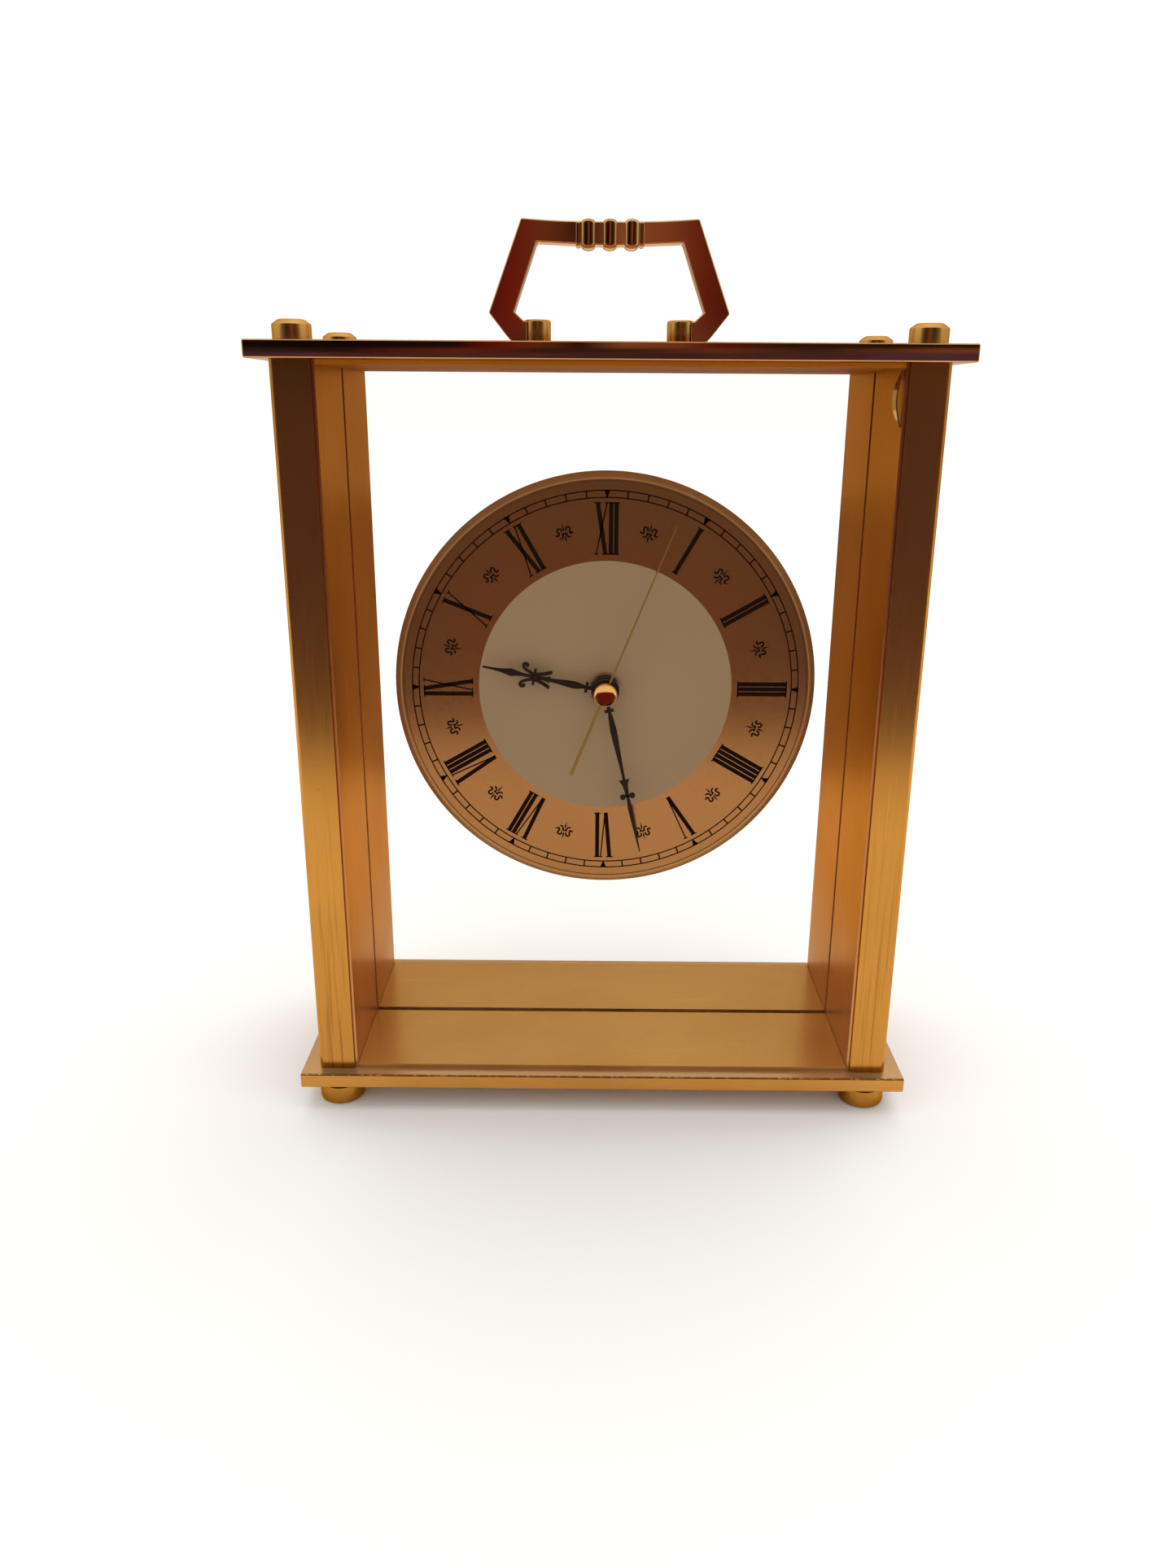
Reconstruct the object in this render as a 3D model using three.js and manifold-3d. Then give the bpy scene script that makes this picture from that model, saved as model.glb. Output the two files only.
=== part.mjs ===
// A mantel clock: a brass four-post case with a bail handle, a glass pane held
// in a groove at mid-depth, a dial on the pane's front and a quartz movement
// in a drum behind it. Millimetres, +Z up, front towards -Y. The origin is at
// the bottom centre, on the surface that the feet stand on.

import * as THREE from 'three';
import { mergeVertices } from 'three/addons/utils/BufferGeometryUtils.js';
import Module from 'manifold-3d';

const wasm = await Module();
wasm.setup();

// ---------------------------------------------------------------- dimensions

const FIT = 0.3;                 // clearance round a piece that sits in a hole

// Case
const PLATE_W = 165;             // top and base plates
const PLATE_D = 70;
const PLATE_T = 4;
const FOOT_H = 7;
const FOOT_R = 6.1;
const CASE_H = 184;              // between the two plates
const POST_X = 73.0;             // post centre from the middle
const POST_Y = 26.5;
const POST_W = 9.6;
const POST_D = 10.3;
const POST_ROUND = 1.2;          // outer corner of a post
const KNOB_R = 4.5;
const KNOB_H = 4.6;
const ROD_R = 2.0;
const ROD_END = 2.6;             // how far a tie rod runs into its knob
const ROD_FOOT = 5.0;            // how far it runs into its foot
const PANEL_T = 0.8;             // lip of a side panel over the posts
const PANEL_WEB = 3.0;           // web of a side panel between the posts
const PANEL_Y = 30.8;            // half depth of the inner panels
const DECK_T = 1.1;              // floor and ceiling panels
const PANE_T = 2.0;
const PANE_SEAT = 0.9;           // how far the pane sits in the side grooves

// Handle
const HANDLE_D = 5.8;
const HANDLE_TOP_X = 21.6;
const HANDLE_TOP_Z = 29.3;       // heights above the top plate
const HANDLE_WIDE_X = 29.8;
const HANDLE_WIDE_Z = 8.0;
const HANDLE_BAR = 5.3;
const HANDLE_SAG = 0.7;          // how far the bar dips in the middle
const HANDLE_KNEE = [25.6, 2.8]; // outer corner where an arm turns in
const HANDLE_SOLE = [23.2, 1.0]; // its lowest point, just above the plate
const HANDLE_CROOK = [[21.2, 6.2], [23.5, 8.3]]; // inner corners of that turn
const HANDLE_TAPER = 3.8;        // how far the bar's inner corner is inside its outer one
const HANDLE_BEVEL = 0.9;
const BEAD_STEP = 5.3;
const BEAD_R = 3.4;
const BEAD_HALF = 1.7;           // half a bead's length along the bar
const TAP_DEPTH = 4.6;           // threaded hole in each handle foot
const HANDLE_FOOT_X = 17.4;
const HANDLE_FOOT_R = 3.2;
const HANDLE_FOOT_H = 6.5;
const SCREW_R = 1.4;
const SCREW_HEAD_R = 2.7;
const SCREW_L = 8.2;

// Leaf spring on the right side panel, near its front edge, under the ceiling
const SPRING = { low: 181.0, high: 193.5, bow: 1.2, thick: 0.4, front: -30.0, back: -26.2 };

// Dial and hands, in front of the pane
const DIAL_Z = 112.4;            // centre of the dial above the feet
const DIAL_Y = -4.0;             // front face
const DIAL_R = 55.0;
const BEZEL_R = 57.0;
const BUSH_R = 3.2;
const BUSH_BORE = 2.35;
const NUT_R = 4.4;
const NUT_H = 1.3;
const BEZEL_DROP = 1.6;          // how far the bezel slopes back to its rim
const HOUR_PIPE_R = 2.0;
const HOUR_PIPE_BORE = 1.55;
const CANNON_R = 1.2;
const CANNON_BORE = 0.85;
const ARBOR_R = 0.5;
const HOUR_ANGLE = 281.2;        // degrees clockwise from twelve
const MINUTE_ANGLE = 167.5;
const SECOND_ANGLE = 22.0;
const HOUR_REACH = 33.6;
const MINUTE_REACH = 46.5;
const SECOND_REACH = 47.0;
const SECOND_TAIL = 24.4;
const CAP_R = 3.2;
// Each hand has a flat blade and a round hub; each pair is a front and a rear y.
const HOUR_HAND = { blade: [-7.6, -7.0], hub: [-8.0, -6.4], hubR: 3.8 };
const MINUTE_HAND = { blade: [-9.5, -9.0], hub: [-9.9, -8.5], hubR: 3.6 };
const SECOND_HAND = { blade: [-10.9, -10.6], hub: [-11.0, -10.4], hubR: 1.6 };

// Movement, behind the pane
const DRUM_R = 46;
const DRUM_WALL = 1.5;
const FRONT_CASE = [1.0, 2.6];   // each pair is a front and a rear y
const MID_PLATE = [6.8, 7.8];
const REAR_PLATE = [19.2, 20.2];
const REAR_WALL = [21.5, 23.0];
const BATTERY_R = 7.0;
const BATTERY_L = 49;
const BATTERY_Z = -28;
const BATTERY_Y = 12.4;
const BATTERY_TIP_R = 2.7;
const BATTERY_TIP_H = 1.2;
const CONTACT_X = BATTERY_L / 2 + 1.5;
const CONTACT_HALF = 4;          // half the width of the flat contact
const CONTACT_T = 0.4;
const CONE = { turns: 2.5, wide: 4.2, narrow: 2.2, height: 3.2, wire: 0.3 };
const BUSH_FRONT = -6.2;
const PILLARS = [[-30, 12], [30, -8], [-6, 36]]; // x and z from the dial's centre
const PILLAR_R = 1.5;
const PILLAR_COLLAR_R = 2.6;
const MOVEMENT_R = 41.5;         // middle and rear plates
const MOVEMENT_LOW = -18.5;      // their straight lower edge, above the battery
const BEARING_R = 0.8;
const SETTING_HOLE_R = 1.3;
const WINDOW = { x: 25.6, low: -35.4, high: -20.6 };
const DOOR = { x: 27.2, low: -36.4, high: -19.6, front: 23.3, back: 24.3 };
const DOOR_RIDGE = { x: 1.0, low: -32.5, high: -23.5, height: 1.0 };
const RAIL = { x: 21, web: 1.5, lip: 1.2, height: 1.1 };
const STATOR = [17.0, 17.8];
const STATOR_OUT = [2, 12.5, 26, 36];    // left, low, right, high
const STATOR_IN = [8, 21.5, 20];         // left, low, right of the gap between its arms
const ROTOR_HOLE_R = 3.5;
const COIL = { x: 14, y: 15.95, z: 33, half: 5.2, flange: 0.8, radius: 2.4, waist: 1.9 };
const CORE = { front: 14.9, half: 1 };
const BOARD = { low: [-26, 17.6, 14], high: [-10, 18.6, 33] };
const CRYSTAL = { radius: 1.5, half: 3, place: [-18, 15.9, 25] };

// Gear train: tooth counts, and the distances between arbors
const TEETH = {
  rotor: 6, fifth: 30, fifthPinion: 6, seconds: 36, secondsPinion: 6, third: 45,
  thirdPinion: 6, centre: 48, cannon: 8, minute: 24, minutePinion: 6, hour: 24,
  setting: 8,
};
const THIRD_DISTANCE = 13.5;
const MINUTE_DISTANCE = 11.2;
const FIFTH_DISTANCE = 14.0;
const ROTOR_DISTANCE = 10.0;

// The layer of each wheel and pinion, as a front and a rear y
const LAYER = {
  hour: [3.2, 4.4], minute: [5.0, 6.0], minutePinion: [3.1, 5.0], setting: [4.8, 6.2],
  cannon: [4.8, 6.3], centre: [8.6, 9.4], thirdPinion: [8.3, 11.0], third: [11.0, 11.8],
  secondsPinion: [10.4, 13.0], seconds: [13.0, 13.8], fifthPinion: [12.6, 15.0],
  fifth: [15.0, 15.8], rotor: [14.6, 16.4], magnet: [16.4, 18.4], knob: [23.6, 27.0],
};
const PIVOT_R = 0.5;
const PIVOTS = [7.0, 19.8];      // arbors between the middle and the rear plate
const ROTOR_PIVOT_R = 0.4;
const MAGNET_R = 3.0;
const SETTING_ARBOR_R = 0.9;
const GRIP_TEETH = 18;           // ribs round the setting knob
const GRIP_MODULE = 0.66;

// Worked out from the dimensions above
const BASE_TOP = FOOT_H + PLATE_T;
const CASE_TOP = BASE_TOP + CASE_H;
const PLATE_TOP = CASE_TOP + PLATE_T;
const POST_IN = POST_X - POST_W / 2;
const PANEL_X = POST_IN - PANEL_T;
const SIDES = [[-1, 'left'], [1, 'right']];
const ENDS = [[-1, 'front'], [1, 'rear']];

// ----------------------------------------------------------------- materials

function finish(color, roughness, metalness) {
  return new THREE.MeshStandardMaterial({ color, roughness, metalness });
}

const polishedBrass = finish(0x7c4426, 0.18, 1);
const brushedBrass = finish(0xbb8844, 0.38, 1);
const goldBrass = finish(0xcf9a45, 0.25, 1);
const dialBrass = finish(0xa8763f, 0.45, 0.8);
const steel = finish(0xb5b5b0, 0.3, 1);
const blackSteel = finish(0x14110f, 0.4, 0.3);
const blackPlastic = finish(0x1b1b1c, 0.55, 0);
const whitePlastic = finish(0xd8d6cc, 0.5, 0);
const copper = finish(0xa8562c, 0.35, 1);
const green = finish(0x24583a, 0.5, 0);
const silverCan = finish(0xa9a9a4, 0.3, 1);
const clearGlass = new THREE.MeshStandardMaterial({
  color: 0xf2f6f4, roughness: 0.03, metalness: 0, transparent: true, opacity: 0.2,
});

// ------------------------------------------------------------ shape helpers

// Merge shared vertices, drop collapsed triangles and turn the faces outward.
function closed(geometry) {
  geometry.deleteAttribute('normal');
  geometry.deleteAttribute('uv');
  const merged = mergeVertices(geometry, 1e-4);
  const point = merged.attributes.position;
  const kept = [];
  let volume = 0;
  const [a, b, c] = [new THREE.Vector3(), new THREE.Vector3(), new THREE.Vector3()];
  for (let i = 0; i < merged.index.count; i += 3) {
    const [p, q, r] = [0, 1, 2].map((k) => merged.index.getX(i + k));
    if (p === q || q === r || r === p) continue;
    kept.push(p, q, r);
    volume += a.fromBufferAttribute(point, p).dot(
      b.fromBufferAttribute(point, q).cross(c.fromBufferAttribute(point, r)),
    );
  }
  if (volume < 0) kept.reverse();
  const result = new THREE.BufferGeometry();
  result.setAttribute('position', point);
  result.setIndex(kept);
  return result;
}

function toSolid(geometry) {
  const mesh = closed(geometry);
  return new wasm.Manifold(new wasm.Mesh({
    numProp: 3,
    vertProperties: new Float32Array(mesh.attributes.position.array),
    triVerts: new Uint32Array(mesh.index.array),
  }));
}

function fromSolid(solid) {
  const mesh = solid.getMesh();
  const geometry = new THREE.BufferGeometry();
  geometry.setAttribute('position', new THREE.BufferAttribute(mesh.vertProperties, 3));
  geometry.setIndex(new THREE.BufferAttribute(mesh.triVerts, 1));
  return geometry;
}

// Join the geometries in add, then cut away those in remove.
function carve(add, remove = []) {
  let solid = toSolid(add[0]);
  for (const piece of add.slice(1)) solid = solid.add(toSolid(piece));
  for (const piece of remove) solid = solid.subtract(toSolid(piece));
  return fromSolid(solid);
}

// A box from its lowest corner to its highest.
function box(low, high) {
  const size = high.map((value, i) => value - low[i]);
  const middle = high.map((value, i) => (value + low[i]) / 2);
  return new THREE.BoxGeometry(...size).translate(...middle);
}

// A solid of revolution about Z from [radius, z] pairs.
function turned(profile, segments = 16) {
  const points = profile.map(([radius, z]) => new THREE.Vector2(radius, z));
  return new THREE.LatheGeometry(points, segments).rotateX(Math.PI / 2);
}

// The same about Y, from [radius, y] pairs.
function spun(profile, segments = 24) {
  const points = profile.map(([radius, y]) => new THREE.Vector2(radius, y));
  return new THREE.LatheGeometry(points, segments);
}

function rod(radius, low, high, segments = 12) {
  return turned([[0, low], [radius, low], [radius, high], [0, high]], segments);
}

function disc(radius, front, back, segments = 20) {
  return spun([[0, front], [radius, front], [radius, back], [0, back]], segments);
}

function ring(outer, inner, front, back, segments = 20) {
  return spun([
    [inner, front], [outer, front], [outer, back], [inner, back], [inner, front],
  ], segments);
}

// A flat shape drawn in X and Z, given thickness from y = front to y = back.
function slab(shape, front, back, curveSegments = 6) {
  const options = { depth: back - front, bevelEnabled: false, curveSegments };
  return new THREE.ExtrudeGeometry(shape, options)
    .rotateX(Math.PI / 2).translate(0, back, 0);
}

function outline(points) {
  return new THREE.Shape(points.map(([x, z]) => new THREE.Vector2(x, z)));
}

function circleHole(shape, x, z, radius) {
  const hole = new THREE.Path();
  hole.absarc(x, z, radius, 0, 2 * Math.PI, true);
  shape.holes.push(hole);
}

// ------------------------------------------------------------ scene helpers

const clock = new THREE.Group();
const dialGroup = new THREE.Group();
dialGroup.position.set(0, 0, DIAL_Z);
clock.add(dialGroup);

function place(name, geometry, material, parent = clock, position = [0, 0, 0]) {
  const mesh = new THREE.Mesh(closed(geometry), material);
  mesh.name = name;
  mesh.position.set(...position);
  parent.add(mesh);
  return mesh;
}

function forEachCorner(make) {
  for (const [ySign, end] of ENDS) {
    for (const [xSign, side] of SIDES) {
      make(`${end}_${side}`, xSign * POST_X, ySign * POST_Y, xSign, ySign);
    }
  }
}

// ---------------------------------------------------------------------- case

function platePiece(bottom, extraCuts) {
  const cuts = [...extraCuts];
  forEachCorner((name, x, y) => {
    cuts.push(rod(ROD_R + FIT, -1, PLATE_T + 1).translate(x, y, bottom));
  });
  return carve([box(
    [-PLATE_W / 2, -PLATE_D / 2, bottom],
    [PLATE_W / 2, PLATE_D / 2, bottom + PLATE_T],
  )], cuts);
}

// Clear holes for the handle screws, countersunk from beneath.
function handleScrewCuts() {
  const sink = turned([
    [0, -1], [SCREW_HEAD_R + FIT, -1], [SCREW_HEAD_R + FIT, 0.4],
    [SCREW_R + FIT, 1.9], [SCREW_R + FIT, PLATE_T + 1], [0, PLATE_T + 1],
  ]);
  return [-1, 1].map((side) => sink.clone().translate(side * HANDLE_FOOT_X, 0, CASE_TOP));
}

function makePost(xSign, ySign) {
  const [halfW, halfD, round] = [POST_W / 2, POST_D / 2, POST_ROUND];
  const shape = new THREE.Shape();
  shape.moveTo(-halfW, halfD);
  shape.lineTo(-halfW, -halfD);
  shape.lineTo(halfW - round, -halfD);
  shape.absarc(halfW - round, -halfD + round, round, -Math.PI / 2, 0, false);
  shape.lineTo(halfW, halfD);
  circleHole(shape, 0, 0, ROD_R + FIT);
  const options = { depth: CASE_H, bevelEnabled: false, curveSegments: 4 };
  return new THREE.ExtrudeGeometry(shape, options).scale(xSign, -ySign, 1);
}

function makeKnob() {
  const bore = ROD_R + FIT;
  const roof = ROD_END + FIT;
  return turned([
    [bore, 0], [KNOB_R, 0], [KNOB_R, KNOB_H - 1.1], [KNOB_R - 0.3, KNOB_H - 0.4],
    [KNOB_R - 1.0, KNOB_H], [0, KNOB_H],
    [0, roof], [bore, roof], [bore, 0],
  ]);
}

function makeFoot() {
  const bore = ROD_R + FIT;
  const roof = FOOT_H - ROD_FOOT - FIT;
  return turned([
    [0, 0], [FOOT_R - 1.5, 0], [FOOT_R - 0.45, 0.45], [FOOT_R, 1.5], [FOOT_R, FOOT_H],
    [bore, FOOT_H], [bore, roof], [0, roof],
  ]);
}

// A side panel: a thin sheet over the inner faces of two posts, with a web
// that fills the space between them and a groove for the pane.
function makeSidePanel(sign) {
  const web = POST_Y - POST_D / 2;
  const groove = PANE_T / 2;
  const seat = PANEL_X + PANE_SEAT + 0.1;
  const points = [
    [PANEL_X, -PANEL_Y], [POST_IN, -PANEL_Y], [POST_IN, -web], [POST_IN + PANEL_WEB, -web],
    [POST_IN + PANEL_WEB, web], [POST_IN, web], [POST_IN, PANEL_Y], [PANEL_X, PANEL_Y],
    [PANEL_X, groove], [seat, groove], [seat, -groove], [PANEL_X, -groove],
  ];
  const options = { depth: CASE_H, bevelEnabled: false };
  return new THREE.ExtrudeGeometry(outline(points), options).scale(sign, 1, 1);
}

// Floor and ceiling panels leave the same groove between their front and rear halves.
function deckPanel(ySign, bottom) {
  const [near, far] = [PANE_T / 2, PANEL_Y];
  const [low, high] = ySign < 0 ? [-far, -near] : [near, far];
  return box([-PANEL_X, low, bottom], [PANEL_X, high, bottom + DECK_T]);
}

place('base_plate', platePiece(FOOT_H, []), brushedBrass);
place('top_plate', platePiece(CASE_TOP, handleScrewCuts()), polishedBrass);

forEachCorner((name, x, y, xSign, ySign) => {
  const rodLow = FOOT_H - ROD_FOOT;
  const rodHigh = PLATE_TOP + ROD_END;
  place(`post_${name}`, makePost(xSign, ySign), brushedBrass, clock, [x, y, BASE_TOP]);
  place(`foot_${name}`, makeFoot(), goldBrass, clock, [x, y, 0]);
  place(`cap_knob_${name}`, makeKnob(), goldBrass, clock, [x, y, PLATE_TOP]);
  place(`tie_rod_${name}`, rod(ROD_R, rodLow, rodHigh), steel, clock, [x, y, 0]);
});

for (const [sign, side] of SIDES) {
  place(`side_panel_${side}`, makeSidePanel(sign), brushedBrass, clock, [0, 0, BASE_TOP]);
}
for (const [sign, end] of ENDS) {
  place(`floor_panel_${end}`, deckPanel(sign, BASE_TOP), brushedBrass);
  place(`ceiling_panel_${end}`, deckPanel(sign, CASE_TOP - DECK_T), brushedBrass);
}

// The pane stands on the base plate, in the grooves of the panels, and the
// threaded bush of the movement passes through its hole.
function makePane() {
  const halfW = PANEL_X + PANE_SEAT;
  const sheet = box([-halfW, -PANE_T / 2, BASE_TOP], [halfW, PANE_T / 2, CASE_TOP]);
  const hole = disc(BUSH_R + FIT, -PANE_T, PANE_T).translate(0, 0, DIAL_Z);
  return carve([sheet], [hole]);
}
place('glass_pane', makePane(), clearGlass);

// A bowed strip: its ends touch the panel and its middle stands off.
function makeLeafSpring() {
  const half = (SPRING.high - SPRING.low) / 2;
  const bow = [];
  const steps = 12;
  for (let i = 0; i <= steps; i += 1) {
    const t = (2 * i) / steps - 1;
    bow.push([t * half, SPRING.bow * Math.cos((t * Math.PI) / 2) ** 1.5]);
  }
  const inner = bow.map(([z, x]) => [PANEL_X - x, z]);
  const outer = bow.map(([z, x]) => [PANEL_X - x - SPRING.thick, z]).reverse();
  return slab(outline([...inner, ...outer]), SPRING.front, SPRING.back)
    .translate(0, 0, (SPRING.low + SPRING.high) / 2);
}
place('leaf_spring_right', makeLeafSpring(), goldBrass);

// -------------------------------------------------------------------- handle

// One cast bail: a top bar, two arms that spread downwards and turn in to a
// round foot each. Three beads sit in the middle of the bar.
function makeHandle() {
  const right = [
    [0, HANDLE_TOP_Z - HANDLE_SAG], [HANDLE_TOP_X, HANDLE_TOP_Z],
    [HANDLE_WIDE_X, HANDLE_WIDE_Z], HANDLE_KNEE, HANDLE_SOLE,
    [HANDLE_FOOT_X, HANDLE_SOLE[1]], [HANDLE_FOOT_X, HANDLE_CROOK[0][1]], ...HANDLE_CROOK,
    [HANDLE_TOP_X - HANDLE_TAPER, HANDLE_TOP_Z - HANDLE_BAR],
    [0, HANDLE_TOP_Z - HANDLE_BAR - HANDLE_SAG],
  ];
  const left = right.slice(1, -1).map(([x, z]) => [-x, z]).reverse();
  const bevel = HANDLE_BEVEL;
  const arch = new THREE.ExtrudeGeometry(outline([...right, ...left]), {
    depth: HANDLE_D - 2 * bevel, bevelThickness: bevel, bevelSize: bevel,
    bevelOffset: -bevel, bevelSegments: 1,
  }).rotateX(Math.PI / 2).translate(0, HANDLE_D / 2 - bevel, 0);
  const feet = [-1, 1].map((side) => turned([
    [0, 0], [HANDLE_FOOT_R, 0], [HANDLE_FOOT_R, HANDLE_FOOT_H - 0.5],
    [HANDLE_FOOT_R - 0.5, HANDLE_FOOT_H], [0, HANDLE_FOOT_H],
  ], 16).translate(side * HANDLE_FOOT_X, 0, 0));
  const bead = [
    [0, -BEAD_HALF], [BEAD_R - 0.5, -BEAD_HALF + 0.2], [BEAD_R, -BEAD_HALF + 1],
    [BEAD_R, BEAD_HALF - 1], [BEAD_R - 0.5, BEAD_HALF - 0.2], [0, BEAD_HALF],
  ];
  const beads = [-1, 0, 1].map((i) => spun(bead, 12).rotateZ(Math.PI / 2)
    .translate(i * BEAD_STEP, 0, HANDLE_TOP_Z - HANDLE_SAG - HANDLE_BAR / 2));
  const taps = [-1, 1].map((side) => rod(SCREW_R + FIT, -1, TAP_DEPTH, 12)
    .translate(side * HANDLE_FOOT_X, 0, 0));
  return carve([arch, ...feet, ...beads], taps);
}
place('handle', makeHandle(), polishedBrass, clock, [0, 0, PLATE_TOP]);

for (const [sign, side] of SIDES) {
  const screw = turned([
    [0, 0], [SCREW_HEAD_R, 0], [SCREW_HEAD_R, 0.4], [SCREW_R, 1.7], [SCREW_R, SCREW_L],
    [0, SCREW_L],
  ]);
  place(`handle_screw_${side}`, screw, steel, clock, [sign * HANDLE_FOOT_X, 0, CASE_TOP]);
}

// ---------------------------------------------------------------- dial parts

const dialHole = BUSH_R + FIT;
place('dial_plate', ring(DIAL_R, dialHole, DIAL_Y, -PANE_T / 2, 56), dialBrass, dialGroup);

// The bezel ring's front slopes back to its rim.
place('bezel_ring', spun([
  [DIAL_R, DIAL_Y], [BEZEL_R, DIAL_Y + BEZEL_DROP], [BEZEL_R, -PANE_T / 2],
  [DIAL_R, -PANE_T / 2], [DIAL_R, DIAL_Y],
], 56), goldBrass, dialGroup);

place('dial_nut', ring(NUT_R, dialHole, DIAL_Y - NUT_H, DIAL_Y), steel, dialGroup);

// A hand's outline from [distance, half width] pairs, mirrored about its axis.
function handShape(profile) {
  const right = profile.map(([distance, half]) => [half, distance]);
  const left = profile.map(([distance, half]) => [-half, distance]).reverse();
  return outline([...right, ...left]);
}

// A flat hand with a round hub on its pipe, at its rest angle.
function makeHand(profile, hand, bore, angle) {
  const blade = slab(handShape(profile), ...hand.blade);
  const boss = disc(hand.hubR, ...hand.hub);
  const hole = disc(bore, hand.hub[0] - 1, hand.hub[1] + 1, 16);
  return carve([blade, boss], [hole]).rotateY(THREE.MathUtils.degToRad(angle));
}

const hourProfile = [
  [2.0, 0.5], [4.6, 0.5], [4.8, 1.5], [5.5, 1.5], [5.7, 0.5], [8.6, 0.95], [13.6, 0.55],
  [15.4, 2.1], [16.6, 1.2], [18.6, 1.0], [18.8, 2.1], [19.8, 2.1], [20.0, 0.8], [21.2, 2.0],
  [22.0, 3.2], [23.2, 3.2], [23.0, 2.2], [22.6, 0.6], [23.6, 0.5], [26.0, 1.05],
  [29.0, 0.45], [HOUR_REACH, 0.15],
];
const minuteProfile = [
  [2.0, 0.5], [4.6, 0.5], [4.8, 1.3], [5.5, 1.3], [5.7, 0.5], [10.7, 0.95], [18.0, 0.65],
  [24.4, 0.4], [25.6, 1.5], [26.6, 0.9], [28.4, 0.55], [29.0, 1.9], [30.4, 1.9],
  [31.0, 0.5], [32.6, 0.65], [37.0, 0.45], [MINUTE_REACH, 0.12],
];
const secondProfile = [
  [-SECOND_TAIL, 0.3], [0, 0.24], [SECOND_REACH, 0.14],
];

place('hour_hand', makeHand(
  hourProfile, HOUR_HAND, HOUR_PIPE_R + FIT, HOUR_ANGLE,
), blackSteel, dialGroup);
place('minute_hand', makeHand(
  minuteProfile, MINUTE_HAND, CANNON_R + FIT, MINUTE_ANGLE,
), blackSteel, dialGroup);
place('second_hand', makeHand(
  secondProfile, SECOND_HAND, ARBOR_R + FIT, SECOND_ANGLE,
), goldBrass, dialGroup);

// A cap over the middle of the second hand, its face dished inside a thin rim.
place('hand_cap', spun([
  [0, -12.1], [CAP_R - 0.45, -12.25], [CAP_R - 0.25, -12.4], [CAP_R, -12.2],
  [CAP_R, SECOND_HAND.hub[0]], [0, SECOND_HAND.hub[0]],
]), goldBrass, dialGroup);

// --------------------------------------------------------------------- gears

function toPolar(distance, degrees) {
  const angle = THREE.MathUtils.degToRad(degrees);
  return [distance * Math.cos(angle), distance * Math.sin(angle)];
}

const third = toPolar(THIRD_DISTANCE, 150);
const minute = toPolar(MINUTE_DISTANCE, 270);
const fifth = toPolar(FIFTH_DISTANCE, 30);
const rotorOffset = toPolar(ROTOR_DISTANCE, 80);
const rotor = [fifth[0] + rotorOffset[0], fifth[1] + rotorOffset[1]];
const setting = [minute[0] + MINUTE_DISTANCE, minute[1]];
const middle = [0, 0];

// Teeth with straight flanks. The tooth at toward points along that angle,
// and gap turns the wheel by half a tooth so that a tooth space lies there.
function gear(teeth, module, from, to, gap, layer) {
  const pitch = (teeth * module) / 2;
  const root = pitch - 1.0 * module;
  const tip = pitch + 0.7 * module;
  const step = (2 * Math.PI) / teeth;
  const toward = Math.atan2(to[1] - from[1], to[0] - from[0]) + (gap ? step / 2 : 0);
  const points = [];
  for (let i = 0; i < teeth; i += 1) {
    for (const [radius, part] of [[root, -0.24], [tip, -0.1], [tip, 0.1], [root, 0.24]]) {
      const angle = toward + (i + part) * step;
      points.push([radius * Math.cos(angle), radius * Math.sin(angle)]);
    }
  }
  return slab(outline(points), ...layer);
}

// Two meshing gears share a module that follows from their distance apart.
function moduleOf(distance, driver, driven) {
  return (2 * distance) / (driver + driven);
}

const moduleThird = moduleOf(THIRD_DISTANCE, TEETH.secondsPinion, TEETH.third);
const moduleCentre = moduleOf(THIRD_DISTANCE, TEETH.thirdPinion, TEETH.centre);
const moduleMinute = moduleOf(MINUTE_DISTANCE, TEETH.cannon, TEETH.minute);
const moduleHour = moduleOf(MINUTE_DISTANCE, TEETH.minutePinion, TEETH.hour);
const moduleSeconds = moduleOf(FIFTH_DISTANCE, TEETH.fifthPinion, TEETH.seconds);
const moduleFifth = moduleOf(ROTOR_DISTANCE, TEETH.rotor, TEETH.fifth);

function at([x, z]) {
  return [x, 0, z];
}

function pivots(radius = PIVOT_R) {
  return disc(radius, ...PIVOTS, 12);
}

place('hour_wheel', carve([
  gear(TEETH.hour, moduleHour, middle, minute, true, LAYER.hour),
  disc(HOUR_PIPE_R, HOUR_HAND.hub[0] - 0.2, LAYER.hour[1], 20),
], [disc(HOUR_PIPE_BORE, -9, 5, 16)]), whitePlastic, dialGroup);

place('minute_wheel', carve([
  gear(TEETH.minute, moduleMinute, minute, middle, false, LAYER.minute),
  gear(TEETH.minutePinion, moduleHour, minute, middle, false, LAYER.minutePinion),
  disc(PIVOT_R, FRONT_CASE[1] + 0.2, MID_PLATE[0] - 0.2, 12),
]), whitePlastic, dialGroup, at(minute));

place('centre_wheel', carve([
  gear(TEETH.centre, moduleCentre, middle, third, true, LAYER.centre),
  gear(TEETH.cannon, moduleMinute, middle, minute, true, LAYER.cannon),
  disc(CANNON_R, MINUTE_HAND.hub[0] - 0.2, LAYER.centre[1], 16),
], [disc(CANNON_BORE, -11, 10, 12)]), goldBrass, dialGroup);

place('third_wheel', carve([
  gear(TEETH.third, moduleThird, third, middle, true, LAYER.third),
  gear(TEETH.thirdPinion, moduleCentre, third, middle, false, LAYER.thirdPinion),
  pivots(),
]), whitePlastic, dialGroup, at(third));

place('seconds_wheel', carve([
  gear(TEETH.seconds, moduleSeconds, middle, fifth, true, LAYER.seconds),
  gear(TEETH.secondsPinion, moduleThird, middle, third, false, LAYER.secondsPinion),
  disc(ARBOR_R, SECOND_HAND.blade[0], PIVOTS[1], 12),
]), whitePlastic, dialGroup);

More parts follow.
